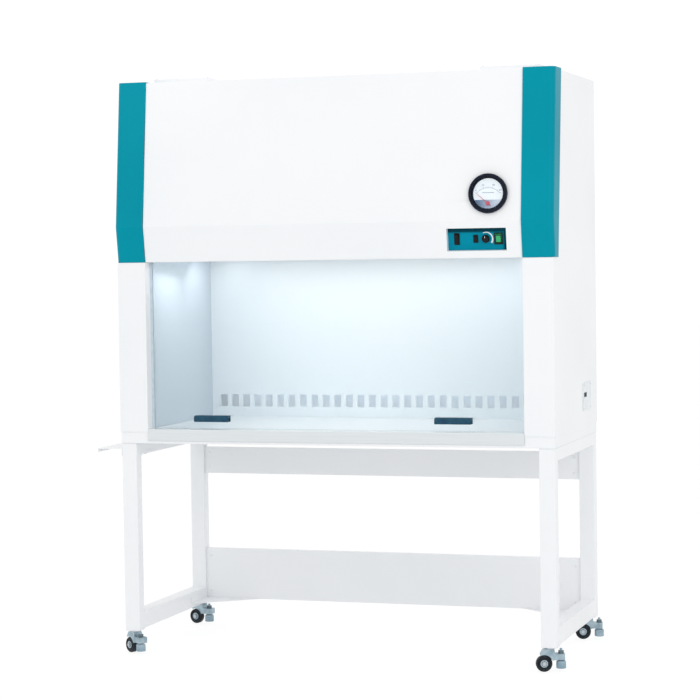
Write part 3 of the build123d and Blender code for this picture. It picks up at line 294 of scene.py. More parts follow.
# finishes by slot
finishes = {
    "white_paint": makeFinish("whitePowderCoat", coatSkin, {
        "Colour": screen(245, 246, 248), "Shade": screen(242, 244, 246), "Roughness": 0.38}, bump=0.12, depth=0.0003),
    "lining": makeFinish("chamberLining", coatSkin, {
        "Colour": screen(232, 241, 247), "Shade": screen(230, 240, 246), "Roughness": 0.36},
        bump=0.08, depth=0.0002),
    # inner side walls: the chamber lining again in a darker copy, painted shade for the walls that get less light
    # than the rear wall
    "shaded_side_lining": makeFinish("shadedSideLining", coatSkin, {
        "Colour": screen(191, 204, 215), "Shade": screen(195, 208, 218), "Roughness": 0.36},
        bump=0.08, depth=0.0002),
    "teal_paint": makeFinish("tealPaint", coatSkin, {
        "Colour": screen(0, 150, 170), "Shade": screen(0, 144, 164), "Peel Scale": 800, "Roughness": 0.36},
        bump=0.06, depth=0.0002, Specular_IOR_Level=0.05),
    # control plate: teal, with a painted shadow along the recess's top and right edges
    "control_face": makeFinish("controlFace", recessShadow, {
        "Colour": screen(0, 142, 168), "Shade": screen(0, 64, 78), "Right": at(567, 0, 0).x, "Top": 1.3475,
        "Reach": 0.0125}, bump=0.05, depth=0.0002, Specular_IOR_Level=0.05),
    # the steel's faces that do not look up carry a painted shade, darker than the deck's top
    "stainless": makeFinish("brushedSteel", brushedGrain, {
        "Colour": screen(251, 253, 253), "Streak": screen(243, 247, 248), "Grain": (6, 700, 700), "Roughness": 0.36,
        "Side Shade": screen(229, 231, 233)}, bump=0.1, depth=0.00005, Metallic=0.5),
    "zinc": makeFinish("zincPlate", brushedGrain, {
        "Colour": screen(206, 210, 214), "Streak": screen(186, 190, 196), "Grain": (900, 900, 60), "Roughness": 0.28},
        bump=0.15, depth=0.00005, Metallic=1.0),
    "caster_alloy": makeFinish("casterAlloy", mouldGrain, {
        "Colour": screen(170, 190, 200), "Shade": screen(140, 162, 174), "Grain Scale": 900, "Roughness": 0.38},
        bump=0.2, depth=0.0002, dust={"Amount": 0.25, "Scale": 220}, Metallic=0.6),
    "wheel_nylon": makeFinish("wheelNylon", mouldGrain, {
        "Colour": screen(10, 20, 28), "Shade": screen(22, 34, 42), "Roughness": 0.42},
        bump=0.25, depth=0.0002, dust={"Amount": 0.16, "Scale": 260}, Specular_IOR_Level=0.25),
    "pad_rubber": makeFinish("padRubber", mouldGrain, {
        "Colour": screen(160, 184, 196), "Shade": screen(134, 160, 176), "Roughness": 0.5},
        bump=0.25, depth=0.0002, dust={"Amount": 0.2, "Scale": 200}),
    "adjuster_plastic": makeFinish("thumbRing", mouldGrain, {
        "Colour": screen(104, 122, 128), "Shade": screen(88, 106, 112), "Roughness": 0.4}, bump=0.2),
    "filter_alloy": makeFinish("filterFrame", brushedGrain, {
        "Colour": screen(214, 217, 220), "Streak": screen(196, 199, 203), "Grain": (5, 500, 500), "Roughness": 0.36},
        bump=0.2, depth=0.0001, Metallic=1.0),
    "filter_paper": makeFinish("pleatedPaper", mouldGrain, {
        "Colour": screen(247, 247, 243), "Shade": screen(240, 240, 235), "Grain Scale": 1300, "Roughness": 0.85},
        bump=0.5, depth=0.0004),
    "filter_foam": makeFinish("filterMat", mouldGrain, {
        "Colour": screen(92, 98, 104), "Shade": screen(64, 70, 76), "Grain Scale": 240, "Roughness": 0.9},
        bump=1.0, depth=0.003),
    "galvanised": makeFinish("galvanisedSheet", zincSpangle, {"Roughness": 0.36}, bump=0.1, depth=0.0001,
        Metallic=0.9),
    "motor_black": makeFinish("motorEnamel", coatSkin, {
        "Colour": screen(44, 46, 50), "Shade": screen(32, 34, 38), "Peel Scale": 500, "Roughness": 0.42},
        bump=0.3, depth=0.0003),
    "lamp_glass": makeFinish("lampTube", mouldGrain, {
        "Colour": screen(246, 250, 252), "Shade": screen(238, 246, 250), "Roughness": 0.25}, bump=0.05,
        Emission_Color=screen(226, 242, 252), Emission_Strength=1.6),
    "clear_glass": makeGlass("clearGlass", (0.985, 0.995, 0.995, 1)),
    "lens_glass": makeGlass("lensGlass", (0.99, 0.995, 1, 1), seeThrough=0.94),
    "handle_plastic": makeFinish("handlePlastic", mouldGrain, {
        "Colour": screen(34, 78, 100), "Shade": screen(26, 66, 90), "Roughness": 0.38}, bump=0.2, depth=0.0002,
        Specular_IOR_Level=0.2),
    "guide_plastic": makeFinish("guidePlastic", mouldGrain, {
        "Colour": screen(212, 226, 235), "Shade": screen(202, 217, 228), "Roughness": 0.45}, bump=0.2, depth=0.0002),
    "black_plastic": makeFinish("blackPlastic", mouldGrain, {
        "Colour": screen(14, 16, 22), "Shade": screen(8, 10, 16), "Roughness": 0.35}, bump=0.15, depth=0.0001,
        Specular_IOR_Level=0.25),
    "green_lens": makeFinish("greenLens", mouldGrain, {
        "Colour": screen(0, 156, 92), "Shade": screen(0, 138, 80), "Grain Scale": 700, "Roughness": 0.2},
        bump=0.3, depth=0.0001, Emission_Color=screen(0, 150, 80), Emission_Strength=0.35, Coat_Weight=0.5),
    "bezel_navy": makeFinish("navyHousing", mouldGrain, {
        "Colour": screen(4, 16, 40), "Shade": screen(2, 10, 30), "Roughness": 0.36}, bump=0.15, depth=0.0001,
        Specular_IOR_Level=0.2),
    # the dial face also glows faintly: painted light that brightens it deep inside its bezel
    "dial_white": makeFinish("dialFace", mouldGrain, {
        "Colour": screen(246, 247, 252), "Shade": screen(243, 244, 250), "Roughness": 0.5}, bump=0.05,
        Emission_Color=screen(250, 248, 255), Emission_Strength=0.1),
    "pointer_red": makeFinish("pointerRed", coatSkin, {
        "Colour": screen(214, 92, 116), "Shade": screen(200, 72, 98), "Roughness": 0.4}, bump=0.05),
    "outlet_plastic": makeFinish("outletPlastic", mouldGrain, {
        "Colour": screen(234, 238, 240), "Shade": screen(226, 231, 234), "Roughness": 0.35}, bump=0.12, depth=0.0001),
}
print("finishes ready:", len(finishes))

ownFinishes = {"inner_side_walls": "shaded_side_lining", "inner_rear_wall": "lining", "gauge_lens": "lens_glass",
               "control_plate": "control_face"}
# widths of the rounded edges, by finish and then by part
softEdges = {"white_paint": 0.9, "lining": 0.4, "shaded_side_lining": 0.4, "teal_paint": 0.5, "stainless": 0.5,
             "caster_alloy": 0.9, "wheel_nylon": 0.7, "pad_rubber": 0.8, "adjuster_plastic": 0.4,
             "handle_plastic": 1.2, "guide_plastic": 0.3, "outlet_plastic": 0.6, "bezel_navy": 0.4,
             "black_plastic": 0.3, "green_lens": 0.3}
edgeSizes = {"weld": 0.00002, "segments": 2, "angle": 38}
bigRounds = {"side_frame_left": 2.2, "side_frame_right": 2.2, "side_shelf": 0.9}
for row in frame["record"]["subparts"]:
    node, slot = row["node"], row["material_slot"]
    chosen = ownFinishes.get(node, slot)
    body = parts[node]
    if body.material_slots:
        for place in body.material_slots:
            place.material = finishes[chosen]
    else:
        body.data.materials.append(finishes[chosen])
    width = bigRounds.get(node, softEdges.get(chosen, 0))
    if width:
        weld = body.modifiers.new("weldSeams", "WELD")
        weld.merge_threshold = edgeSizes["weld"]
        bevel = body.modifiers.new("softEdges", "BEVEL")
        bevel.width = width / 1000
        bevel.segments = edgeSizes["segments"]
        bevel.limit_method = "ANGLE"
        bevel.angle_limit = math.radians(edgeSizes["angle"])
print("parts dressed")


def meshPiece(name, shape, finish, body):
    mesh = bpy.data.meshes.new(name)
    shape.normal_update()
    shape.to_mesh(mesh)
    shape.free()
    piece = addObject(name, mesh)
    mesh.materials.append(finishes[finish])
    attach(piece, body)
    return piece


def smoothPiece(piece, angle=35):
    for face in piece.data.polygons:
        face.use_smooth = True
    piece.data.set_sharp_from_angle(angle=math.radians(angle))


def turnOn(shape, spot, profile, steps=32):
    # profile: radius and height pairs in millimetres, turned about the spot's own upright
    rings = []
    for radius, height in profile:
        if radius < 1e-6:
            rings.append([shape.verts.new(spot @ local(0, 0, height))])
            continue
        turns = [2 * math.pi * step / steps for step in range(steps)]
        rings.append([shape.verts.new(spot @ polar(radius, turn, height)) for turn in turns])
    for low, high in zip(rings, rings[1:]):
        for step in range(steps):
            after = (step + 1) % steps
            if len(low) == 1:
                shape.faces.new((low[0], high[after], high[step])[::-1])
            elif len(high) == 1:
                shape.faces.new((low[step], low[after], high[0]))
            else:
                shape.faces.new((low[step], low[after], high[after], high[step]))


def pushBlock(shape, spot, low, high, pinch=0.0):
    # box between two corners in millimetres, its top drawn in by pinch
    corners = []
    for z, shrink in ((low[2], 0), (high[2], pinch)):
        for x, y in ((low[0] + shrink, low[1] + shrink), (high[0] - shrink, low[1] + shrink),
                     (high[0] - shrink, high[1] - shrink), (low[0] + shrink, high[1] - shrink)):
            corners.append(shape.verts.new(spot @ local(x, y, z)))
    for face in ((3, 2, 1, 0), (4, 5, 6, 7), (0, 1, 5, 4), (1, 2, 6, 5), (2, 3, 7, 6), (3, 0, 4, 7)):
        shape.faces.new([corners[index] for index in face])


def standing(point, outward, along=None):
    # a spot whose upright points outward
    outward = Vector(outward).normalized()
    along = Vector(along) if along else (Vector((1, 0, 0)) if abs(outward.x) < 0.9 else Vector((0, 1, 0)))
    side = (along - outward * along.dot(outward)).normalized()
    return Matrix.Translation(point) @ Matrix((side, outward.cross(side), outward)).transposed().to_4x4()


buttonHead = {"radius": 4.2, "height": 2.2, "socket": 1.5, "steps": 18}


def addScrews(name, spots, finish, body, scale=1.0):
    shape = bmesh.new()
    radius, height, socket = (buttonHead[key] * scale for key in ("radius", "height", "socket"))
    profile = [(radius, -0.2), (radius, 0.25 * height), (0.93 * radius, 0.55 * height),
               (0.75 * radius, 0.85 * height), (0.5 * radius, height), (socket, height),
               (0.92 * socket, 0.35 * height), (0, 0.3 * height)]
    for spot in spots:
        turnOn(shape, spot, profile, buttonHead["steps"])
    smoothPiece(meshPiece(name, shape, finish, body), 40)


# pressure gauge
gaugeSizes = {"x": 513, "z": 1451, "radius": 60.3, "proud": 12, "dial": 49, "faceHeight": 3.0, "pivotDrop": 30,
              "hoodBend": 1369, "slopeRun": 48, "slopeRise": 461, "bendForward": 16, "skin": 3.0,
              "scaleRadius": 47, "scaleHalf": 50, "scaleLine": 0.7, "divisions": 30, "arcSteps": 48,
              "longTick": (0.5, 5), "middleTick": (0.35, 3.6), "shortTick": (0.22, 2.4),
              "barHalf": 18, "barLow": 1.6, "barHigh": 3.2, "ringInside": 46.3, "ringRise": 2.0,
              "plateTop": -19.5, "plateRise": 0.7, "plateEnds": (-34, 30), "rimSteps": 40,
              "plateScrews": (-27, 27), "plateScrewDrop": 33, "numberHeight": 8.2, "numberDepth": 0.04,
              "numbers": {"0": (-38, 10), "20": (-16.5, 25.5), "40": (16.5, 25.5), "60": (38, 10)}}
lean = math.atan2(gaugeSizes["slopeRun"], gaugeSizes["slopeRise"])
gaugeDepth = ((gaugeSizes["z"] - gaugeSizes["hoodBend"]) * math.tan(lean) - gaugeSizes["bendForward"]
              + gaugeSizes["skin"] / math.cos(lean))
gaugeSpot = standing(at(gaugeSizes["x"], gaugeDepth, gaugeSizes["z"]), (0, -math.cos(lean), math.sin(lean)))

finishes["dial_ink"] = makeFinish("dialInk", coatSkin, {
    "Colour": screen(150, 156, 168), "Shade": screen(138, 146, 160), "Roughness": 0.5}, bump=0.02)
plateEnds = [at(gaugeSizes["x"] + reach, 0, 0).x for reach in gaugeSizes["plateEnds"]]
finishes["dial_plate"] = makeFinish("dialPlate", slantTint, {
    "Colour": screen(92, 116, 152), "Shade": screen(214, 220, 238), "From": plateEnds[0], "To": plateEnds[1],
    "Roughness": 0.35}, bump=0.05)


def buildGauge():
    size = gaugeSizes
    shape = bmesh.new()
    rim, proud = size["radius"], size["proud"]
    turnOn(shape, gaugeSpot, [(56.5, 0.2), (rim - 0.5, 0.2), (rim, 1), (rim, proud - 3.2),
                              (rim - 0.7, proud - 1.6), (rim - 2, proud - 0.5), (rim - 3.4, proud),
                              (rim - 6.6, proud - 0.3), (51.9, proud - 1.1), (51.9, proud - 3.4),
                              (50.2, proud - 3.6), (50.2, 2.2)], 72)
    smoothPiece(meshPiece("gaugeBezel", shape, "bezel_navy", "cabinet"), 30)

    # dark ring over the dial's edge: a spacer that holds the dial down, and also painted shade at the foot of the
    # bezel
    spacer = bmesh.new()
    face, inside, rise = size["faceHeight"], size["ringInside"], size["ringRise"]
    turnOn(spacer, gaugeSpot, [(size["dial"], face + 0.05), (inside, face + 0.05),
                               (inside, face + rise - 0.5), (inside + 0.4, face + rise - 0.1),
                               (inside + 1, face + rise), (size["dial"], face + rise)], 72)
    smoothPiece(meshPiece("gaugeSpacerShadeRing", spacer, "bezel_navy", "cabinet"), 30)

    ink = bmesh.new()
    pivot = gaugeSpot @ Matrix.Translation(local(0, -size["pivotDrop"], 0))
    arcSteps, reach, radius = size["arcSteps"], math.radians(size["scaleHalf"]), size["scaleRadius"]
    low, high = face + 0.02, face + 0.12
    inner, outer = [], []
    for step in range(arcSteps + 1):
        turn = math.pi / 2 + reach - 2 * reach * step / arcSteps
        inner.append(ink.verts.new(pivot @ polar(radius, turn, high)))
        outer.append(ink.verts.new(pivot @ polar(radius + size["scaleLine"], turn, high)))
    for step in range(arcSteps):
        ink.faces.new((inner[step + 1], inner[step], outer[step], outer[step + 1]))
    for mark in range(size["divisions"] + 1):
        spot = pivot @ Matrix.Rotation(reach - 2 * reach * mark / size["divisions"], 4, "Z")
        kind = "longTick" if mark % 10 == 0 else ("middleTick" if mark % 5 == 0 else "shortTick")
        wide, rise = size[kind]
        pushBlock(ink, spot, (-wide, radius, low), (wide, radius + rise, high))
    pushBlock(ink, gaugeSpot, (-size["barHalf"], size["barLow"], low), (size["barHalf"], size["barHigh"], high))
    meshPiece("gaugeScale", ink, "dial_ink", "cabinet")

    # bare plate below the scale, with its two screws
    plate = bmesh.new()
    edge, chord = size["ringInside"] - 0.2, size["plateTop"]
    half, top = math.acos(-chord / edge), face + size["plateRise"]
    turns = [half - 2 * half * step / size["rimSteps"] for step in range(size["rimSteps"] + 1)]
    rimPoints = [(edge * math.sin(turn), -edge * math.cos(turn)) for turn in turns]
    below = [plate.verts.new(gaugeSpot @ local(x, y, low)) for x, y in rimPoints]
    above = [plate.verts.new(gaugeSpot @ local(0.985 * x, 0.985 * y, top)) for x, y in rimPoints]
    for step in range(len(below)):
        after = (step + 1) % len(below)
        plate.faces.new((below[after], below[step], above[step], above[after]))
    plate.faces.new(above)
    for sideways in size["plateScrews"]:
        turnOn(plate, gaugeSpot @ Matrix.Translation(local(sideways, -size["plateScrewDrop"], top)),
               [(2.4, -0.1), (2.4, 0.7), (1.9, 1.1), (0.8, 1.1), (0.7, 0.6), (0, 0.6)], 16)
    bmesh.ops.recalc_face_normals(plate, faces=plate.faces)
    meshPiece("gaugePlate", plate, "dial_plate", "cabinet")

    for number, (right, up) in size["numbers"].items():
        words = bpy.data.curves.new("gaugeNumber" + number, "FONT")
        words.body = number
        words.size = size["numberHeight"] / 1000
        words.align_x, words.align_y = "CENTER", "CENTER"
        words.extrude = size["numberDepth"] / 1000
        label = addObject("gaugeNumber" + number, words)
        label.matrix_world = gaugeSpot @ Matrix.Translation(local(right, up, face + 0.08))
        words.materials.append(finishes["dial_ink"])
        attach(label, "cabinet")

    cap = bmesh.new()
    turnOn(cap, pivot, [(6.6, face + 2.2), (6.6, face + 2.6), (5.4, face + 3.3), (2.6, face + 3.7),
                        (0, face + 3.8)], 28)
    smoothPiece(meshPiece("gaugePointerHub", cap, "pointer_red", "gauge_pointer"), 40)


buildGauge()
print("gauge built")

# control panel
controlSizes = {"x": 474, "z": 1313, "hoodBottom": 1257, "browRun": 16, "browRise": 112, "recess": 18, "knobX": 26,
                "knobTop": 17.3, "arcRadius": 18.2, "arcWidth": 5.2, "arcSteps": 28, "arcEnds": (118, -38),
                "inkLift": 0.12, "powerX": 65, "rockerLift": 1, "rockerTilt": 8,
                "rockerWide": 10, "rockerHalf": 13.7, "valley": 2.44, "slope": 10.4, "windowWide": 7.2,
                "windowHalf": 10.2}
brow = math.atan2(controlSizes["browRun"], controlSizes["browRise"])
controlDepth = (-(controlSizes["z"] - controlSizes["hoodBottom"]) * math.tan(brow)
                + gaugeSizes["skin"] / math.cos(lean))
controlSpot = standing(at(controlSizes["x"], controlDepth, controlSizes["z"]), (0, -math.cos(brow), -math.sin(brow)))
plateSpot = controlSpot @ Matrix.Translation(local(0, 0, -controlSizes["recess"]))


def buildControls():
    size = controlSizes
    ink = bmesh.new()
    knobSpot = plateSpot @ Matrix.Translation(local(size["knobX"], 0, 0))
    steps, (first, last) = size["arcSteps"], (math.radians(end) for end in size["arcEnds"])
    for step in range(steps):
        turns = [first + (last - first) * (step + end) / steps for end in (0, 1)]
        grow = 0.4 + 0.6 * step / steps
        corners = []
        for turn in turns:
            for radius in (size["arcRadius"], size["arcRadius"] + size["arcWidth"] * grow):
                corners.append(ink.verts.new(knobSpot @ polar(radius, turn, size["inkLift"])))
        ink.faces.new((corners[0], corners[1], corners[3], corners[2]))
    bmesh.ops.recalc_face_normals(ink, faces=ink.faces)
    meshPiece("knobScaleArc", ink, "white_paint", "cabinet")

    line, top = bmesh.new(), size["knobTop"]
    pushBlock(line, knobSpot, (-0.7, 3.5, top - 0.3), (0.7, 9.2, top + 0.25), 0.1)
    meshPiece("knobPointerLine", line, "white_paint", "speed_knob")
    cap = bmesh.new()
    turnOn(cap, knobSpot, [(9.3, top - 0.6), (9.2, top), (8.6, top + 0.2), (7.9, top + 0.1), (0, top + 0.05)], 36)
    smoothPiece(meshPiece("knobCap", cap, "black_plastic", "speed_knob"), 40)

    # dark surround of the green window, on both halves of the rocker
    surround = bmesh.new()
    rocker = (plateSpot @ Matrix.Translation(local(size["powerX"], 0, size["rockerLift"]))
              @ Matrix.Rotation(math.radians(size["rockerTilt"]), 4, "X")
              @ Matrix.Translation(local(0, 0, size["valley"])))
    wide, window = size["rockerWide"], size["windowWide"]
    for half in (1, -1):
        face = rocker @ Matrix.Rotation(math.radians(half * size["slope"]), 4, "X")
        for low, high in (((-wide, 0), (-window, size["rockerHalf"])), ((window, 0), (wide, size["rockerHalf"])),
                          ((-wide, size["windowHalf"]), (wide, size["rockerHalf"]))):
            ends = sorted((half * low[1], half * high[1]))
            pushBlock(surround, face, (low[0], ends[0], -0.3), (high[0], ends[1], 0.35), 0.15)
    meshPiece("powerSurround", surround, "black_plastic", "power_switch")


buildControls()
print("controls built")

# screws and welds
screwSizes = {"rearY": 630, "rearX": 696, "rearRows": (760, 1800, 7), "edgeRows": (740, 1800), "edgeColumns": 7,
              "topZ": 1825, "topColumns": (-640, 640, 6), "topRows": (70, 612),
              "filterZ": 1847, "filterX": (-545, 545), "filterY": 310, "thumbX": 88, "thumbY": 140,
              "panelY": 595, "panelX": (-640, 640), "panelRows": (120, 240, 545, 598),
              "outletX": 713, "outletColumns": (412, 512), "outletRows": (772, 846)}
backward, upward, forward, rightward = (0, 1, 0), (0, 0, 1), (0, -1, 0), (1, 0, 0)


def buildScrews():
    size = screwSizes
    edge = size["rearX"]
    places = [(x, z) for z in evenly(*size["rearRows"]) for x in (-edge, edge)]
    places += [(x, z) for x in evenly(-edge, edge, size["edgeColumns"])[1:-1] for z in size["edgeRows"]]
    spots = [standing(at(x, size["rearY"], z), backward) for x, z in places]
    addScrews("rearCoverScrews", spots, "zinc", "cabinet")
    spots = [standing(at(x, y, size["topZ"]), upward)
             for x in evenly(*size["topColumns"]) for y in size["topRows"]]
    addScrews("topCoverScrews", spots, "zinc", "cabinet", 0.8)
    spots = [standing(at(x + side * size["thumbX"], size["filterY"] + row * size["thumbY"], size["filterZ"]), upward)
             for x in size["filterX"] for side in (-1, 1) for row in (-1, 1)]
    addScrews("prefilterThumbScrews", spots, "zinc", "cabinet", 0.9)
    spots = [standing(at(x, size["panelY"], z), forward) for x in size["panelX"] for z in size["panelRows"]]
    addScrews("rearPanelScrews", spots, "white_paint", "cabinet", 1.1)
    spots = [standing(at(size["outletX"], y, z), rightward)
             for y in size["outletColumns"] for z in size["outletRows"]]
    addScrews("outletScrews", spots, "zinc", "cabinet", 0.55)


socketSizes = {"y": 436, "z": 815, "floor": 699, "halfLong": 20.8, "halfHigh": 7.3, "wall": 0.8, "deep": 13.4}


def buildSocket():
    # painted shade: a dark liner on the walls of the socket's recess, standing in for the shade in its hollow
    size = socketSizes
    long, high, wall, deep = size["halfLong"], size["halfHigh"], size["wall"], size["deep"]
    spot = standing(at(size["floor"], size["y"], size["z"]), rightward)
    shape = bmesh.new()
    for low, far in (((-long, -high), (wall - long, high)), ((long - wall, -high), (long, high)),
                     ((wall - long, -high), (long - wall, wall - high)),
                     ((wall - long, high - wall), (long - wall, high))):
        pushBlock(shape, spot, (*low, 0.1), (*far, deep))
    meshPiece("outletSocketShade", shape, "adjuster_plastic", "cabinet")


weldSizes = {"start": 660, "end": 706, "beads": 22, "faces": ((45, 1), (585, -1)), "lift": 0.5,
             "seams": ((640, -1), (132, 1), (78, -1)),
             "profile": ((2.3, -0.4), (2.0, 0.6), (1.1, 1.3), (0, 1.5))}


def buildWelds():
    # ripple beads where rails meet legs
    size = weldSizes
    shape = bmesh.new()
    lift = size["lift"]
    for side in (-1, 1):
        for y, turn in size["faces"]:
            for z, up in size["seams"]:
                for x in evenly(size["start"], size["end"], size["beads"]):
                    spot = standing(at(side * x, y + turn * lift, z + up * lift), (0, turn, up))
                    turnOn(shape, spot, size["profile"], 8)
    smoothPiece(meshPiece("standWeldBeads", shape, "white_paint", "cabinet"), 60)


buildScrews()
buildSocket()
buildWelds()
print("screws, socket and welds built")

# chamber
guardSizes = {"x": 598, "front": 121, "back": 554, "z": 1261.5, "pitch": 24, "wire": 0.9}
capSizes = {"reach": 582, "rows": (66, 88), "z": 1272, "radius": 8.3, "length": 16}


def buildGuard():
    # wire guard under the pleats, one layer of wires on the other
    size = guardSizes
    shape = bmesh.new()
    here = Matrix.Translation(at(0, 0, 0))
    wide, front, back, wire = size["x"], size["front"], size["back"], size["wire"]
    low, middle, high = (size["z"] + layer * wire for layer in (0, 2, 4))
    for x in evenly(-wide, wide, int(2 * wide / size["pitch"]) + 1):
        pushBlock(shape, here, (x - wire, front, low), (x + wire, back, middle), 0.4)
    for y in evenly(front, back, int((back - front) / size["pitch"]) + 1):
        pushBlock(shape, here, (-wide, y - wire, middle), (wide, y + wire, high), 0.4)
    meshPiece("filterGuard", shape, "zinc", "cabinet")


def buildLampCaps():
    size = capSizes
    shape = bmesh.new()
    radius, length = size["radius"], size["length"]
    for side in (-1, 1):
        for y in size["rows"]:
            spot = standing(at(side * (size["reach"] - length), y, size["z"]), (side, 0, 0))
            turnOn(shape, spot, [(radius - 0.4, 0), (radius, 0.6), (radius, length - 1.5),
                                 (radius - 1.4, length - 0.2), (0, length - 0.2)], 28)
    smoothPiece(meshPiece("lampCaps", shape, "zinc", "cabinet"), 30)


buildGuard()
buildLampCaps()
print("chamber built")

# casters
casterSizes = {"corners": ("front_left", "front_right", "back_left", "back_right"),
               "stemX": {"left": -683, "right": 683}, "stemY": {"front": 25, "back": 605},
               "wheelRadius": 25, "tread": 10, "offset": 20, "hub": 11.5, "spokes": 6,
               "boltLifts": ((-1, 12.4), (1, 17.0))}


def casterSpot(corner):
    # the caster's own axes: up its stem, and from the stem towards its pad
    end, side = corner.split("_")
    stem = at(casterSizes["stemX"][side], casterSizes["stemY"][end], 0)
    low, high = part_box("level_pad_" + corner)
    away = Vector(((low.x + high.x) / 2 - stem.x, (low.y + high.y) / 2 - stem.y, 0)).normalized()
    return standing(stem, upward, away)


def buildCaster(corner):
    size = casterSizes
    spot = casterSpot(corner)
    axle = spot @ Matrix.Translation(local(-size["offset"], 0, size["wheelRadius"]))
    shape = bmesh.new()
    lift, hub, spokes = size["tread"], size["hub"], size["spokes"]
    for side in (-1, 1):
        face = axle @ Matrix.Rotation(-side * math.pi / 2, 4, "X")
        turnOn(shape, face, [(hub, lift - 0.6), (hub, lift + 0.3), (hub - 1.2, lift + 0.7),
                             (hub - 3.2, lift + 0.5), (hub - 4, lift - 0.2), (hub - 6, lift - 0.2)], 32)
        for spoke in range(spokes):
            arm = face @ Matrix.Rotation(spoke * 2 * math.pi / spokes, 4, "Z")
            pushBlock(shape, arm, (hub - 6.4, -1.1, lift - 0.4), (hub - 2.6, 1.1, lift + 0.6), 0.3)
    smoothPiece(meshPiece("wheelHub_" + corner, shape, "caster_alloy", "wheel_" + corner), 35)
    bolt = bmesh.new()
    for side, lift in size["boltLifts"]:
        face = axle @ Matrix.Rotation(-side * math.pi / 2, 4, "X")
        turnOn(bolt, face, [(6.2, lift - 0.2), (6.2, lift + 0.8), (5.6, lift + 1.0), (4.8, lift + 1.0)], 24)
        turnOn(bolt, face, [(4.9, lift + 0.8), (4.9, lift + 3.0), (4.2, lift + 3.6), (0, lift + 3.7)], 6)
    meshPiece("axleBolt_" + corner, bolt, "zinc", "caster_" + corner)


for corner in casterSizes["corners"]:
    buildCaster(corner)
print("casters built")

# stage, lights and camera
stageSizes = {"floor": 30, "floorDrop": 0.0003, "floorColour": (0.94, 0.95, 0.955, 1), "floorGlow": 0.86,
              "glowLevel": 1.04, "worldLevel": 0.858, "skyLevel": 1.03}


def seenDirectly(tree):
    # 1 on rays to the eye, in reflections and through glass, and 0 for the light that falls on things
    rays = addNode(tree, "ShaderNodeLightPath").outputs
    first = combine(tree, "MAXIMUM", rays["Is Camera Ray"], rays["Is Glossy Ray"])
    return combine(tree, "MAXIMUM", first, rays["Is Transmission Ray"])


def buildStage():
    size, drop = stageSizes["floor"], stageSizes["floorDrop"]
    shape = bmesh.new()
    shape.faces.new([shape.verts.new((x * size, y * size, -drop)) for x, y in ((-1, -1), (1, -1), (1, 1), (-1, 1))])
    mesh = bpy.data.meshes.new("floor")
    shape.to_mesh(mesh)
    shape.free()
    floor = addObject("floor", mesh)
    material, tree, shader = newMaterial("paleFloor")
    shader.inputs["Base Color"].default_value = stageSizes["floorColour"]
    shader.inputs["Roughness"].default_value = 0.9
    shader.inputs["Specular IOR Level"].default_value = 0.1
    share = combine(tree, "MULTIPLY", seenDirectly(tree), stageSizes["floorGlow"])
    glow = addNode(tree, "ShaderNodeEmission", {"Color": (1, 1, 1, 1), "Strength": stageSizes["glowLevel"]})
    both = addNode(tree, "ShaderNodeMixShader", {0: share, 1: shader.outputs[0], 2: glow.outputs[0]})
    tree.links.new(both.outputs[0], tree.nodes["Material Output"].inputs["Surface"])
    mesh.materials.append(material)

    world = bpy.data.worlds.new("studio")
    bpy.context.scene.world = world
    world.use_nodes = True
    tree = world.node_tree
    tree.nodes.clear()
    level = spread(tree, seenDirectly(tree), 0, 1, stageSizes["worldLevel"], stageSizes["skyLevel"])
    sky = addNode(tree, "ShaderNodeBackground", {"Color": (1, 1, 1, 1), "Strength": level})
    out = addNode(tree, "ShaderNodeOutputWorld")
    tree.links.new(sky.outputs[0], out.inputs["Surface"])


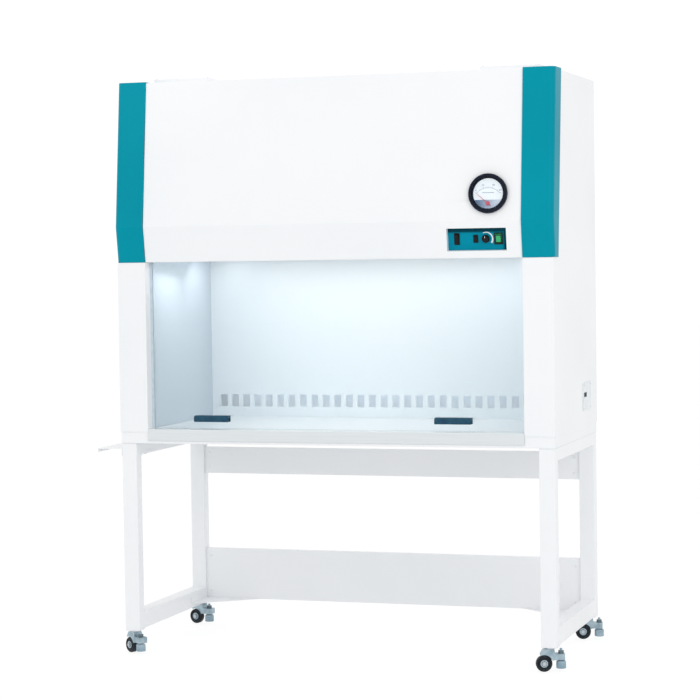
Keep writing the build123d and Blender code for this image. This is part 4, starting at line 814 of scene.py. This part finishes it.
# place, target, two sizes, power and colour; the panels in metres, the hood's lamps in its own millimetres
panelSizes = {
    "keyPanel": ((-2.6, -4.2, 3.6), (0, 0, 1.0), (2.6, 2.6), 22, (1, 1, 1)),
    "fillPanel": ((3.6, -3.2, 2.2), (0.2, 0, 1.0), (2.0, 2.0), 22, (1, 1, 1)),
    "topPanel": ((0, 0.2, 4.0), (0, 0, 0), (3.0, 3.0), 16, (1, 1, 1))}
glowSizes = {
    "chamberGlow": ((0, 400, 1254), (0, 520, 1000), (1.16, 0.12), 1.33, (1, 0.97, 0.945)),
    "deckGlow": ((-10, 190, 1254), (20, 130, 700), (1.16, 0.2), 1.65, (1, 0.985, 0.96)),
    "ductGlow": ((0, 600, 900), (0, 574, 780), (1.2, 0.02), 0.44, (0.8, 0.92, 1.0)),
    "wallGlowLeft": ((-435, 290, 1250), (-585, 290, 1205), (0.5, 0.03), 0.19, (1, 0.985, 0.97)),
    "wallGlowRight": ((435, 290, 1250), (585, 290, 1205), (0.5, 0.03), 0.19, (1, 0.985, 0.97))}
wallSpread = 110


def addLight(name, point, target, sizes, power, colour):
    data = bpy.data.lights.new(name, "AREA")
    data.shape = "RECTANGLE"
    data.size, data.size_y = sizes
    data.energy = power
    data.color = colour
    lamp = addObject(name, data)
    lamp.matrix_world = standing(Vector(point), Vector(point) - Vector(target))
    return lamp


def buildLights():
    for name, row in panelSizes.items():
        addLight(name, *row)
    for name, (point, target, *rest) in glowSizes.items():
        lamp = addLight(name, at(*point), at(*target), *rest)
        if name.startswith("wall"):
            lamp.data.spread = math.radians(wallSpread)
        lamp.visible_camera = lamp.visible_transmission = lamp.visible_glossy = False


cameraSizes = {"place": (2165.6, -6524.2, 1284.7), "turn": 17.84, "dip": 2.56, "roll": -0.84, "lens": 114.15,
               "sensor": 36, "farEnd": 100}


def buildCamera():
    size = cameraSizes
    data = bpy.data.cameras.new("studioCamera")
    data.lens, data.sensor_width, data.sensor_fit = size["lens"], size["sensor"], "HORIZONTAL"
    data.clip_end = size["farEnd"]
    camera = addObject("studioCamera", data)
    turn = (Matrix.Rotation(math.radians(size["turn"]), 4, "Z")
            @ Matrix.Rotation(math.radians(90 - size["dip"]), 4, "X")
            @ Matrix.Rotation(math.radians(size["roll"]), 4, "Z"))
    camera.matrix_world = Matrix.Translation(at(*size["place"])) @ turn
    bpy.context.scene.camera = camera


buildStage()
buildLights()
buildCamera()
bpy.context.scene.view_settings.view_transform = "Standard"
bpy.context.view_layer.update()
